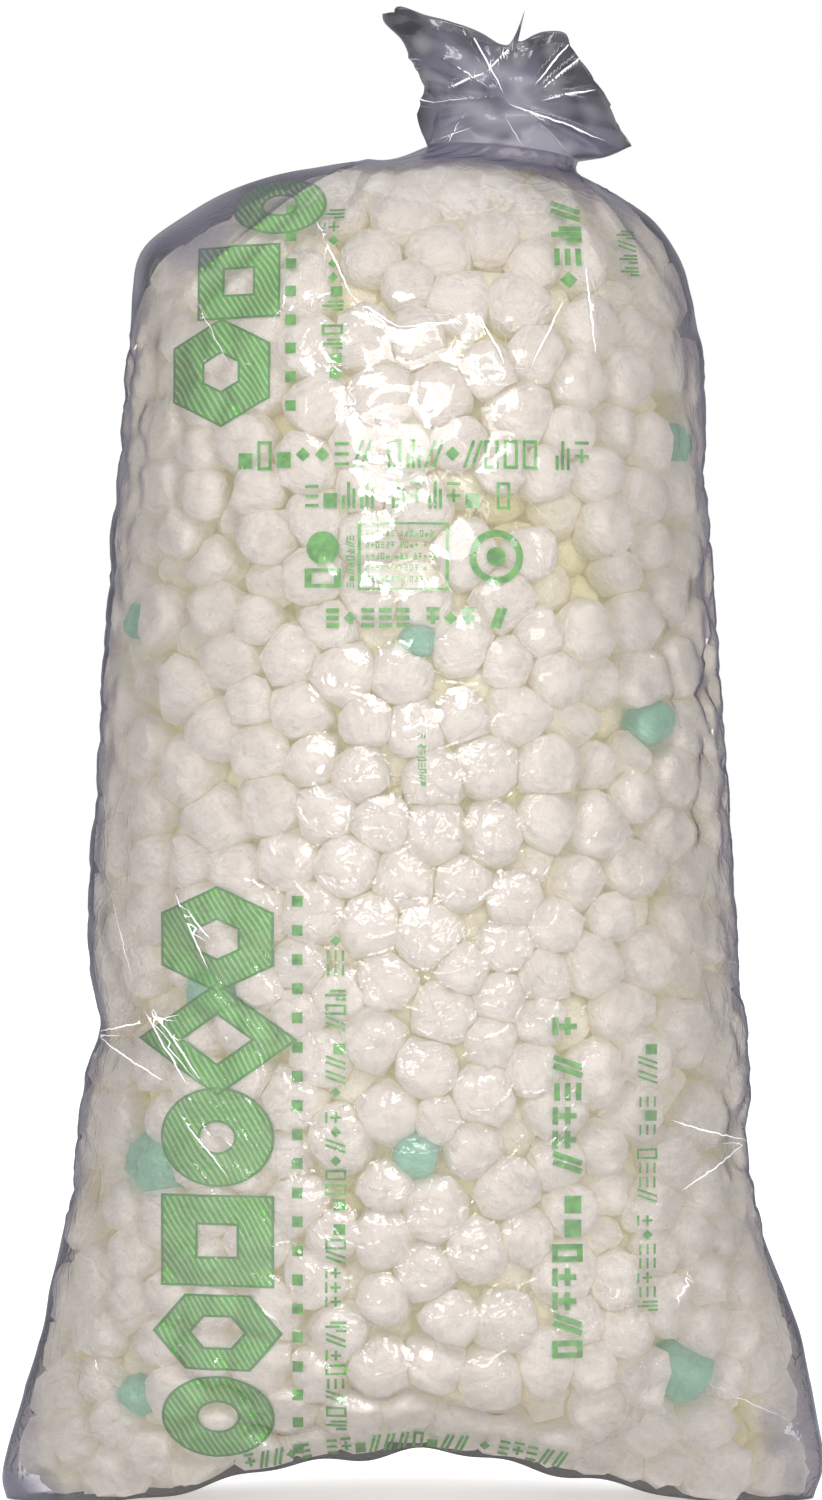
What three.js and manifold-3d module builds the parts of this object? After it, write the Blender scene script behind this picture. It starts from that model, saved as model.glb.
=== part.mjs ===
// A tall bag of clear plastic film, full of puffed starch packing nuggets. Its neck is closed by a knot in
// the film itself, whose loose end flares above it, and its bottom corners stick out as two flat ears.
// Units are millimetres, with +Z up, +X to the right and +Y to the back.
// The origin is on the ground, under the middle of the bag's box.

import * as THREE from "three";
import { mergeVertices } from "three/addons/utils/BufferGeometryUtils.js";
import Module from "manifold-3d";

const wasm = await Module();
wasm.setup();

// The film. Real film is 0.04 mm thick; this wall stands for the film and the air in its creases.
const FILM_WALL = 1;
const RING_SIDES = 32; // round the bag
const RINGS_PER_PAIR = 2; // up the bag, between one pair of edge points and the next

// The bag's two edges seen from the front, pair by pair from the ground up: [x, z] on the left, [x, z] on
// the right, half the depth there, and how square the section is: 2 is an ellipse, less has pointed sides.
const EDGE_PAIRS = [
  { left: [-217, 0], right: [216, 0], halfDepth: 70, squareness: 1.45 },
  { left: [-219, 14], right: [219, 16], halfDepth: 86, squareness: 1.45 },
  { left: [-207, 58], right: [211, 60], halfDepth: 101, squareness: 1.6 },
  { left: [-189, 145], right: [190, 145], halfDepth: 108, squareness: 1.9 },
  { left: [-174, 245], right: [181, 240], halfDepth: 114, squareness: 2.1 },
  { left: [-171, 350], right: [173, 350], halfDepth: 119, squareness: 2.2 },
  { left: [-163, 480], right: [165, 480], halfDepth: 124, squareness: 2.2 },
  { left: [-156, 592], right: [158, 592], halfDepth: 125, squareness: 2.2 },
  { left: [-150, 652], right: [148, 655], halfDepth: 113, squareness: 2.2 },
  { left: [-118, 687], right: [130, 688], halfDepth: 90, squareness: 2.1 },
  { left: [-62, 712], right: [106, 706], halfDepth: 63, squareness: 2 },
  { left: [-2, 722], right: [91, 714], halfDepth: 40, squareness: 2 },
  { left: [9, 735], right: [105, 724], halfDepth: 34, squareness: 2 },
  { left: [9, 756], right: [112, 738], halfDepth: 37, squareness: 2 },
  { left: [2, 778], right: [100, 764], halfDepth: 30, squareness: 2 },
  { left: [-9, 803], right: [84, 790], halfDepth: 21, squareness: 2 },
];
const SQUARENESS_SCALE = 10; // so that the curve through the edge hardly bends for the squareness
const KNOT_PAIRS = [11, 13]; // where the film is drawn tight round its own narrow channel
const CHANNEL = { halfWidth: 9, halfDepth: 5 }; // what is left open through the knot

// The base rests on its two sides, and the film arches a little between them.
const ARCH_HEIGHT = 14;
const ARCH_HALF_SPAN = 104;
const ARCH_FADES_BY = 70; // height at which the wall above no longer shows the arch
const BASE_RINGS = [0.75, 0.5, 0.25]; // closing the base, as shares of its outline

// The room that the nuggets fill.
const FILL_INSET = FILM_WALL + 1.2; // from the film's outside, so that the fill stays clear of it
const FILL_LIFT = 4; // above the ground, clear of the arch's facets
const SHOULDER_PAIR = 9; // the last pair that the nuggets reach
const SHOULDER_RISE = 8; // how far the heap rises above that pair in its middle
const EAR_LENGTH = 16; // flat film beside the base that no nugget reaches into
const EARS_END_AT = 3; // the pair where the film is full to its edges

// A nugget: a short puffed pillow, about as long as it is wide.
const NUGGET = { radius: 17.5, halfLength: 15, cornerShare: 0.62, sides: 8 };
const NUGGET_TILT = 0.5; // radians that a nugget leans at most, to either side
const TILT_PACE = 3.1; // how fast the lean changes from one nugget to the next, beside the turn
const SEAT_DEPTH = 14; // from the film to a nugget's middle, so that the film presses its face flat
const POCKET_CLEARANCE = 0.7;
const WHITE_NUGGETS = 47;
const WHITE_HEIGHTS = [48, 662];
const GOLDEN_TURN = Math.PI * (3 - Math.sqrt(5)); // spreads the nuggets evenly round the bag
const NEAREST_NUGGET = 41; // between the middles of two
const WELD_DISTANCE = 1e-4; // points this near are one
const HALVINGS = 30; // when a pair number is searched for by height

// The green nuggets that can be seen at the front, by their place across and up the bag and their share of
// the full size: most are squeezed small between white ones.
const GREEN_NUGGETS = [
  [4, 456, 0.6],
  [131, 414, 0.75],
  [-139, 183, 1],
  [-108, 273, 0.8],
  [3, 190, 0.75],
  [150, 74, 1],
  [-150, 469, 0.6],
  [147, 562, 0.6],
  [-148, 60, 0.6],
];

const materials = {
  film: new THREE.MeshStandardMaterial({
    color: 0xb9bac4,
    roughness: 0.12,
    metalness: 0,
    transparent: true,
    opacity: 0.3,
  }),
  white: new THREE.MeshStandardMaterial({ color: 0xf1ebdf, roughness: 0.9, metalness: 0 }),
  green: new THREE.MeshStandardMaterial({ color: 0x86bfa0, roughness: 0.9, metalness: 0 }),
};

// Smooth curves through the pairs. The y of each point carries the half depth, or the squareness.
const leftEdge = new THREE.CatmullRomCurve3(
  EDGE_PAIRS.map((p) => new THREE.Vector3(p.left[0], p.halfDepth, p.left[1])),
  false,
  "centripetal",
);
const rightEdge = new THREE.CatmullRomCurve3(
  EDGE_PAIRS.map((p) => new THREE.Vector3(p.right[0], p.squareness * SQUARENESS_SCALE, p.right[1])),
  false,
  "centripetal",
);
const lastPair = EDGE_PAIRS.length - 1;

// The pair numbers of the rings from the ground up to a pair.
function pairsUpTo(pair) {
  return Array.from({ length: pair * RINGS_PER_PAIR + 1 }, (_, i) => i / RINGS_PER_PAIR);
}

function smoothStep(value, from, to) {
  return THREE.MathUtils.smoothstep(value, from, to);
}

function signedPower(value, power) {
  return Math.sign(value) * Math.abs(value) ** power;
}

// How far the arch of the base lifts a point of the wall.
function archLift(x, z) {
  const across = Math.cos((Math.min(Math.abs(x) / ARCH_HALF_SPAN, 1) * Math.PI) / 2) ** 2;
  const up = 1 - smoothStep(z, 0, ARCH_FADES_BY);
  return ARCH_HEIGHT * across * up;
}

// One ring of the bag, at a pair number that need not be whole. It is drawn in by inset all round.
function ringAt(pair, inset) {
  const left = leftEdge.getPoint(pair / lastPair);
  const right = rightEdge.getPoint(pair / lastPair);
  return {
    middle: (left.x + right.x) / 2,
    halfWidth: (right.x - left.x) / 2 - inset,
    halfDepth: left.y - inset,
    squareness: right.y / SQUARENESS_SCALE,
    leftZ: left.z,
    rightZ: right.z,
  };
}

function ringPoint(ring, angle, lift = 0) {
  const across = signedPower(Math.cos(angle), 2 / ring.squareness);
  const along = signedPower(Math.sin(angle), 2 / ring.squareness);
  const x = ring.middle + ring.halfWidth * across;
  const z = THREE.MathUtils.lerp(ring.leftZ, ring.rightZ, (across + 1) / 2);
  return new THREE.Vector3(x, ring.halfDepth * along, z + archLift(x, z) + lift);
}

function ringPoints(ring, lift = 0) {
  return Array.from({ length: RING_SIDES }, (_, i) =>
    ringPoint(ring, (i / RING_SIDES) * Math.PI * 2, lift),
  );
}

// The rings that close a base: smaller and smaller copies of its outline.
function baseRings(ring, lift) {
  return BASE_RINGS.map((share) =>
    ringPoints(
      { ...ring, halfWidth: ring.halfWidth * share, halfDepth: ring.halfDepth * share },
      lift,
    ),
  ).reverse();
}

// A closed surface through rings of points, from one end point to the other.
function loft(startPoint, rings, endPoint) {
  const points = [startPoint, ...rings.flat(), endPoint];
  const faces = [];
  const first = (ring) => 1 + ring * RING_SIDES;
  for (let i = 0; i < RING_SIDES; i++) {
    const next = (i + 1) % RING_SIDES;
    faces.push(0, first(0) + next, first(0) + i);
    for (let ring = 0; ring + 1 < rings.length; ring++) {
      const [a, b] = [first(ring) + i, first(ring) + next];
      const [c, d] = [first(ring + 1) + i, first(ring + 1) + next];
      faces.push(a, b, d, a, d, c);
    }
    const top = first(rings.length - 1);
    faces.push(top + i, top + next, points.length - 1);
  }
  const geometry = new THREE.BufferGeometry().setFromPoints(points);
  geometry.setIndex(faces);
  return geometry;
}

function solidOf(geometry) {
  const plain = geometry.clone();
  plain.deleteAttribute("normal");
  plain.deleteAttribute("uv");
  const merged = mergeVertices(plain, WELD_DISTANCE);
  return new wasm.Manifold(
    new wasm.Mesh({
      numProp: 3,
      vertProperties: merged.attributes.position.array,
      triVerts: new Uint32Array(merged.index.array),
    }),
  );
}

function geometryOf(solid) {
  const mesh = solid.getMesh();
  const geometry = new THREE.BufferGeometry();
  geometry.setAttribute("position", new THREE.BufferAttribute(mesh.vertProperties, 3));
  geometry.setIndex(new THREE.BufferAttribute(mesh.triVerts, 1));
  geometry.computeVertexNormals();
  return geometry;
}

function named(name, geometry, material) {
  const mesh = new THREE.Mesh(geometry, material.clone());
  mesh.name = name;
  return mesh;
}

// The film is one closed skin: up the outside, over the rim of the loose end, and down the inside again
// through the knot's channel.
function filmGeometry() {
  const outer = pairsUpTo(lastPair).map((pair) => ringPoints(ringAt(pair, 0)));
  const inner = pairsUpTo(lastPair).map((pair) => {
    const ring = ringAt(pair, FILM_WALL);
    const [knotFrom, knotTo] = KNOT_PAIRS;
    const tight = smoothStep(pair, knotFrom - 1, knotFrom) * (1 - smoothStep(pair, knotTo, knotTo + 1));
    ring.halfWidth = THREE.MathUtils.lerp(ring.halfWidth, CHANNEL.halfWidth, tight);
    ring.halfDepth = THREE.MathUtils.lerp(ring.halfDepth, CHANNEL.halfDepth, tight);
    return ringPoints(ring, pair === 0 ? FILM_WALL : 0);
  });
  const [ground, floor] = [ringAt(0, 0), ringAt(0, FILM_WALL)];
  const underside = new THREE.Vector3(ground.middle, 0, archLift(ground.middle, 0));
  const inside = underside.clone().setZ(underside.z + FILM_WALL);
  const rings = [...baseRings(ground, 0), ...outer, ...inner.reverse()];
  return loft(underside, [...rings, ...baseRings(floor, FILM_WALL).reverse()], inside);
}

// One ring of the room inside the film that the nuggets fill.
function fillRingAt(pair) {
  const ring = ringAt(pair, FILL_INSET);
  ring.halfWidth -= EAR_LENGTH * (1 - smoothStep(pair, 0, EARS_END_AT));
  return ring;
}

function fillSolid() {
  const rings = pairsUpTo(SHOULDER_PAIR).map((pair) =>
    ringPoints(fillRingAt(pair), pair === 0 ? FILL_LIFT : 0),
  );
  const ground = fillRingAt(0);
  const start = new THREE.Vector3(ground.middle, 0, archLift(ground.middle, 0) + FILL_LIFT);
  const shoulder = fillRingAt(SHOULDER_PAIR);
  const top = (shoulder.leftZ + shoulder.rightZ) / 2 + SHOULDER_RISE;
  const end = new THREE.Vector3(shoulder.middle, 0, top);
  return solidOf(loft(start, [...baseRings(ground, FILL_LIFT), ...rings], end));
}

// The ring of the fill at a height.
function fillRing(z) {
  let [low, high] = [0, SHOULDER_PAIR];
  for (let i = 0; i < HALVINGS; i++) {
    const pair = (low + high) / 2;
    const ring = fillRingAt(pair);
    if ((ring.leftZ + ring.rightZ) / 2 < z) {
      low = pair;
    } else {
      high = pair;
    }
  }
  return fillRingAt(low);
}

// Where the middle of a nugget lies when it is pressed against the film at an angle round the bag, and the
// share of the full size that the nugget has.
function seatAt(angle, z, share) {
  const ring = fillRing(z);
  const wall = ringPoint(ring, angle);
  const outward = new THREE.Vector3(
    (wall.x - ring.middle) / ring.halfWidth ** 2,
    wall.y / ring.halfDepth ** 2,
    0,
  ).normalize();
  return { place: wall.addScaledVector(outward, -SEAT_DEPTH * share).setZ(z), share };
}

// The angle round the bag of a place on its front, found by its distance across.
function frontAngle(x, z) {
  const ring = fillRing(z);
  const across = THREE.MathUtils.clamp((x - ring.middle) / ring.halfWidth, -1, 1);
  return -Math.acos(signedPower(across, ring.squareness / 2));
}

function nuggetGeometry({ place, share }, turn, swell) {
  const { radius, halfLength, cornerShare, sides } = NUGGET;
  const profile = [
    [0, -halfLength],
    [radius * cornerShare, -halfLength],
    [radius, -halfLength * cornerShare],
    [radius, halfLength * cornerShare],
    [radius * cornerShare, halfLength],
    [0, halfLength],
  ];
  const geometry = new THREE.LatheGeometry(profile.map(([r, y]) => new THREE.Vector2(r, y)), sides);
  const scale = share + swell / halfLength;
  geometry.scale(scale, scale, scale);
  geometry.rotateZ(Math.sin(turn * TILT_PACE) * NUGGET_TILT);
  geometry.rotateX(turn);
  geometry.translate(place.x, place.y, place.z);
  return geometry;
}

function whiteSeats(taken) {
  const seats = [];
  const [lowest, highest] = WHITE_HEIGHTS;
  for (let i = 0; i < WHITE_NUGGETS; i++) {
    const z = THREE.MathUtils.lerp(lowest, highest, (i + 0.5) / WHITE_NUGGETS);
    const free = seatAt(i * GOLDEN_TURN, z, 1);
    if ([...taken, ...seats].every((other) => other.place.distanceTo(free.place) > NEAREST_NUGGET)) {
      seats.push(free);
    }
  }
  return seats;
}

const bag = new THREE.Group();
bag.add(named("film_bag", filmGeometry(), materials.film));

const greenSeats = GREEN_NUGGETS.map(([x, z, share]) => seatAt(frontAngle(x, z), z, share));
const seats = [
  ...greenSeats.map((seat) => ({ seat, colour: "green" })),
  ...whiteSeats(greenSeats).map((seat) => ({ seat, colour: "white" })),
];
const room = fillSolid();
let joined = room;
const counts = { green: 0, white: 0 };
seats.forEach(({ seat, colour }, i) => {
  const turn = i * GOLDEN_TURN;
  const nugget = solidOf(nuggetGeometry(seat, turn, 0)).intersect(room);
  joined = joined.subtract(solidOf(nuggetGeometry(seat, turn, POCKET_CLEARANCE)));
  counts[colour] += 1;
  const number = String(counts[colour]).padStart(2, "0");
  bag.add(named(`nugget_${colour}_${number}`, geometryOf(nugget), materials[colour]));
});
bag.add(named("loose_fill", geometryOf(joined), materials.white));

export default bag;
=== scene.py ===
"""A clear film bag of puffed starch nuggets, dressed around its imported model.

Metres, with +Z up, +X to the bag's right seen from its printed front, and +Y to its back. The nuggets are
packed first, inside the skin that the film makes. The film is then drawn in against them, creased, gathered
at the neck and flared above it, and the print is laid on the film.
"""

import logging
import math
from dataclasses import dataclass, field
from enum import Enum

import bmesh
import bpy
import numpy as np
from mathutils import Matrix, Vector
from mathutils.bvhtree import BVHTree


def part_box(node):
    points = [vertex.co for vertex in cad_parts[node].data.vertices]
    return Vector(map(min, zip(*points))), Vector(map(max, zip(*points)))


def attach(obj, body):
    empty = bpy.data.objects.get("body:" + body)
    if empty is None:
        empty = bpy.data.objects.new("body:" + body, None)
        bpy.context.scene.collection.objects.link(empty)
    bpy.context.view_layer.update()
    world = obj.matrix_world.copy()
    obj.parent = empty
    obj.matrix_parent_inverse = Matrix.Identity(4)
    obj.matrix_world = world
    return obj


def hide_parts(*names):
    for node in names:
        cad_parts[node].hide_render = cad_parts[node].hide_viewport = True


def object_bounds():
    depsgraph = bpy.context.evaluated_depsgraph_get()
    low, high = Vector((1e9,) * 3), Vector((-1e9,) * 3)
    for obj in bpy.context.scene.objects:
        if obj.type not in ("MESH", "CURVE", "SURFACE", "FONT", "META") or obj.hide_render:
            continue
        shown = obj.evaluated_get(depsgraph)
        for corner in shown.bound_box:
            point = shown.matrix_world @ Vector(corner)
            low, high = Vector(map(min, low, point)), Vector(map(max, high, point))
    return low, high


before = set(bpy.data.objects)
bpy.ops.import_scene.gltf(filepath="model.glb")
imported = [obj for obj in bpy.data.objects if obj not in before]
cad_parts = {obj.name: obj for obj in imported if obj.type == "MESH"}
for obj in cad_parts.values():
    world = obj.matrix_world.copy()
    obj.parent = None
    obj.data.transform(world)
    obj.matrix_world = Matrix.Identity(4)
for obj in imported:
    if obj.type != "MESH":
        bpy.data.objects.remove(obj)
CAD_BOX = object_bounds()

LOG = logging.getLogger("packing_bag")
Array = np.ndarray


# ---------------------------------------------------------------- small tools


def smooth_step(value: Array | float, low: float, high: float) -> Array:
    """0 below low, 1 above high, and a smooth curve between."""
    share = np.clip((np.asarray(value, float) - low) / (high - low), 0, 1)
    return share * share * (3 - 2 * share)


def unit(vectors: Array) -> Array:
    """The vectors at length one."""
    return vectors / np.maximum(np.linalg.norm(vectors, axis=-1, keepdims=True), 1e-12)


def through(points: Array, at: Array) -> Array:
    """A smooth curve through points.

    Args:
        points: one row of numbers for each point.
        at: places along the curve, where 0 is the first point and 1 the second.

    Returns:
        One row of numbers for each place.
    """
    last = len(points) - 1
    start = np.clip(np.floor(at).astype(int), 0, last - 1)
    share = (at - start)[:, None]
    before = points[np.maximum(start - 1, 0)]
    here = points[start]
    there = points[start + 1]
    after = points[np.minimum(start + 2, last)]
    slope_here = (there - before) / 2
    slope_there = (after - here) / 2
    square, cube = share**2, share**3
    return (
        (2 * cube - 3 * square + 1) * here
        + (cube - 2 * square + share) * slope_here
        + (3 * square - 2 * cube) * there
        + (cube - square) * slope_there
    )


def evenly(points: Array, count: int) -> Array:
    """Points at even steps along an open line of points, both ends included."""
    steps = np.linalg.norm(np.diff(points, axis=0), axis=1)
    along = np.concatenate([[0], np.cumsum(steps)])
    wanted = np.linspace(0, along[-1], count)
    return np.stack([np.interp(wanted, along, points[:, i]) for i in range(points.shape[1])], axis=1)


def new_mesh(name: str, points: Array, faces: list) -> bpy.types.Object:
    """A smooth-shaded mesh object at the origin.

    Args:
        name: the piece's name.
        points: the vertices.
        faces: vertex numbers of each face.

    Returns:
        The object, in the scene.
    """
    mesh = bpy.data.meshes.new(name)
    mesh.from_pydata([tuple(p) for p in np.asarray(points, float)], [], faces)
    mesh.polygons.foreach_set("use_smooth", [True] * len(mesh.polygons))
    mesh.update()
    piece = bpy.data.objects.new(name, mesh)
    bpy.context.scene.collection.objects.link(piece)
    return piece


def points_of(mesh: bpy.types.Mesh) -> Array:
    """A mesh's vertices."""
    flat = np.empty(len(mesh.vertices) * 3)
    mesh.vertices.foreach_get("co", flat)
    return flat.reshape(-1, 3)


def move_points(mesh: bpy.types.Mesh, points: Array) -> None:
    """Puts a mesh's vertices at new places."""
    mesh.vertices.foreach_set("co", np.asarray(points, np.float32).ravel())
    mesh.update()


def write_floats(mesh: bpy.types.Mesh, name: str, values: Array) -> None:
    """Stores one number for each vertex."""
    attribute = mesh.attributes.get(name) or mesh.attributes.new(name, "FLOAT", "POINT")
    attribute.data.foreach_set("value", np.asarray(values, np.float32))


def read_floats(mesh: bpy.types.Mesh, name: str) -> Array:
    """Reads one number for each vertex."""
    values = np.empty(len(mesh.vertices), np.float32)
    mesh.attributes[name].data.foreach_get("value", values)
    return values


def shifted(grid: Array, rows: int) -> Array:
    """A grid moved up or down by rows, with its end rows repeated."""
    places = np.clip(np.arange(len(grid)) + rows, 0, len(grid) - 1)
    return grid[places]


def blurred(grid: Array, times: int) -> Array:
    """A grid of rings with its numbers evened out between neighbours."""
    for _ in range(times):
        beside = np.roll(grid, 1, axis=1) + np.roll(grid, -1, axis=1)
        grid = (grid * 2 + beside + shifted(grid, 1) + shifted(grid, -1)) / 6
    return grid


class SoftNoise:
    """Smooth seeded noise in space, as a sum of waves in many directions."""

    def __init__(self, seed: int, wavelength: float, waves: int = 24) -> None:
        """Draws the waves' directions, lengths and phases."""
        random = np.random.default_rng(seed)
        ways = unit(random.normal(size=(waves, 3)))
        lengths = wavelength * random.uniform(0.7, 1.6, waves)
        self.pitch = ways * (2 * math.pi / lengths)[:, None]
        self.phase = random.uniform(0, 2 * math.pi, waves)

    def at(self, points: Array) -> Array:
        """The noise at points, mostly between -1 and 1."""
        total = np.zeros(len(points))
        for pitch, phase in zip(self.pitch, self.phase):
            total += np.sin(points @ pitch + phase)
        return total * math.sqrt(2 / len(self.phase)) * 0.7


# ---------------------------------------------------------------- the bag's skin


@dataclass(frozen=True)
class EdgePair:
    """A point on the bag's left edge, its partner on the right, and the section between them."""

    left: tuple[float, float]
    right: tuple[float, float]
    half_depth: float
    squareness: float


@dataclass(frozen=True)
class Crease:
    """A fold in the front or back of the film, from one place (x, z) to another."""

    start: tuple[float, float]
    end: tuple[float, float]
    height: float
    width: float
    at_front: bool = True


@dataclass
class Skin:
    """The bag's film as a surface through sections, from its ground edge to the waist under its loose end."""

    pairs: tuple[EdgePair, ...] = (
        EdgePair((-0.2170, 0.000), (0.2160, 0.000), 0.070, 1.45),
        EdgePair((-0.2190, 0.012), (0.2190, 0.016), 0.084, 1.42),
        EdgePair((-0.2130, 0.037), (0.2145, 0.040), 0.095, 1.50),
        EdgePair((-0.2070, 0.058), (0.2110, 0.060), 0.101, 1.60),
        EdgePair((-0.1980, 0.090), (0.2055, 0.092), 0.105, 1.72),
        EdgePair((-0.1940, 0.118), (0.1980, 0.118), 0.107, 1.82),
        EdgePair((-0.1890, 0.146), (0.1900, 0.144), 0.108, 1.90),
        EdgePair((-0.1830, 0.166), (0.1870, 0.162), 0.109, 1.93),
        EdgePair((-0.1800, 0.199), (0.1810, 0.190), 0.111, 2.00),
        EdgePair((-0.1765, 0.226), (0.1835, 0.218), 0.113, 2.05),
        EdgePair((-0.1690, 0.250), (0.1820, 0.246), 0.114, 2.10),
        EdgePair((-0.1720, 0.285), (0.1780, 0.280), 0.116, 2.12),
        EdgePair((-0.1720, 0.330), (0.1745, 0.325), 0.118, 2.15),
        EdgePair((-0.1700, 0.380), (0.1715, 0.380), 0.120, 2.20),
        EdgePair((-0.1665, 0.440), (0.1675, 0.440), 0.123, 2.20),
        EdgePair((-0.1620, 0.494), (0.1640, 0.492), 0.124, 2.20),
        EdgePair((-0.1590, 0.545), (0.1605, 0.545), 0.125, 2.20),
        EdgePair((-0.1555, 0.592), (0.1580, 0.592), 0.124, 2.20),
        EdgePair((-0.1540, 0.625), (0.1555, 0.622), 0.119, 2.20),
        EdgePair((-0.1505, 0.650), (0.1505, 0.645), 0.112, 2.20),
        EdgePair((-0.1430, 0.671), (0.1450, 0.667), 0.102, 2.15),
        EdgePair((-0.1190, 0.688), (0.1330, 0.686), 0.090, 2.10),
        EdgePair((-0.0880, 0.704), (0.1160, 0.700), 0.076, 2.05),
        EdgePair((-0.0540, 0.715), (0.1040, 0.7085), 0.062, 2.00),
        EdgePair((-0.0140, 0.720), (0.0930, 0.714), 0.047, 2.00),
        EdgePair((0.0090, 0.727), (0.0900, 0.719), 0.034, 2.00),
    )
    arch_height: float = 0.032
    arch_half_span: float = 0.190
    arch_fades_by: float = 0.080
    hem_wave: float = 0.0035
    around: int = 264
    scale: Array = field(init=False)
    table: Array = field(init=False)

    def __post_init__(self) -> None:
        """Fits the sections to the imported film's box."""
        low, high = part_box("film_bag")
        lowest = min(pair.left[0] for pair in self.pairs)
        highest = max(pair.right[0] for pair in self.pairs)
        deepest = max(pair.half_depth for pair in self.pairs)
        self.scale = np.array(
            [(high.x - low.x) / (highest - lowest), (high.y - low.y) / (2 * deepest), 1.0]
        )
        self.table = np.array(
            [
                (*pair.left, *pair.right, pair.half_depth, pair.squareness)
                for pair in self.pairs
            ]
        )

    @property
    def last(self) -> int:
        """The number of the last pair, at the waist."""
        return len(self.pairs) - 1

    def arch(self, x: Array, z: Array) -> Array:
        """How far the arch between the two sides of the base lifts the film."""
        across = np.cos(np.clip(np.abs(x) / self.arch_half_span, 0, 1) * math.pi / 2) ** 2
        wave = np.sin(x * 95 + 0.8) * np.sin(x * 31 + 2.0) * self.hem_wave * np.sqrt(across)
        near = 1 - smooth_step(z, 0, self.arch_fades_by)
        return (self.arch_height * across + wave * near) * near

    def ring(self, pair: float, count: int) -> Array:
        """One section, evenly spaced: the right edge, along the front to the left edge, and back behind.

        Args:
            pair: the section's place among the pairs, which need not be whole.
            count: how many points, an even number.

        Returns:
            The section's points, starting at the right edge.
        """
        left_x, left_z, right_x, right_z, depth, square = through(self.table, np.array([pair]))[0]
        angle = np.linspace(0, math.pi, 181)
        across = np.sign(np.cos(angle)) * np.abs(np.cos(angle)) ** (2 / square)
        forward = np.abs(np.sin(angle)) ** (2 / square)
        half = evenly(
            np.stack([across * (right_x - left_x) / 2, forward * depth], axis=1), count // 2 + 1
        )
        x = np.concatenate([half[:, 0], half[-2:0:-1, 0]]) + (left_x + right_x) / 2
        y = np.concatenate([-half[:, 1], half[-2:0:-1, 1]])
        share = (x - left_x) / max(right_x - left_x, 1e-9)
        z = left_z + (right_z - left_z) * share
        return np.stack([x, y, z], axis=1) * self.scale

    def rings(self, places: Array, count: int) -> Array:
        """Sections at several places among the pairs, lifted by the arch."""
        grid = np.stack([self.ring(place, count) for place in places])
        grid[..., 2] += self.arch(grid[..., 0], grid[..., 2])
        return grid

    def places(self, first: float, last: float, step: float) -> Array:
        """Places between two pairs, a step in metres apart along the front of the bag."""
        fine = np.linspace(first, last, 600)
        table = through(self.table, fine)
        middle = np.stack(
            [(table[:, 0] + table[:, 2]) / 2, table[:, 4], (table[:, 1] + table[:, 3]) / 2], axis=1
        )
        edge = table[:, 0:2]
        walked = np.linalg.norm(np.diff(middle, axis=0), axis=1) + np.linalg.norm(
            np.diff(edge, axis=0), axis=1
        )
        along = np.concatenate([[0], np.cumsum(walked / 2)])
        count = max(2, round(along[-1] / step) + 1)
        return np.interp(np.linspace(0, along[-1], count), along, fine)


def ring_faces(rings: int, around: int) -> list[tuple[int, int, int, int]]:
    """The faces between rings of points, facing out for rings that go round by the front and climb."""
    faces = []
    for ring in range(rings - 1):
        low, high = ring * around, (ring + 1) * around
        for i in range(around):
            after = (i + 1) % around
            faces.append((low + i, high + i, high + after, low + after))
    return faces


# ---------------------------------------------------------------- the nuggets


class NuggetKind(Enum):
    """The two colours of starch in the fill."""

    WHITE = "nugget_white"
    GREEN = "nugget_green"


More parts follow.
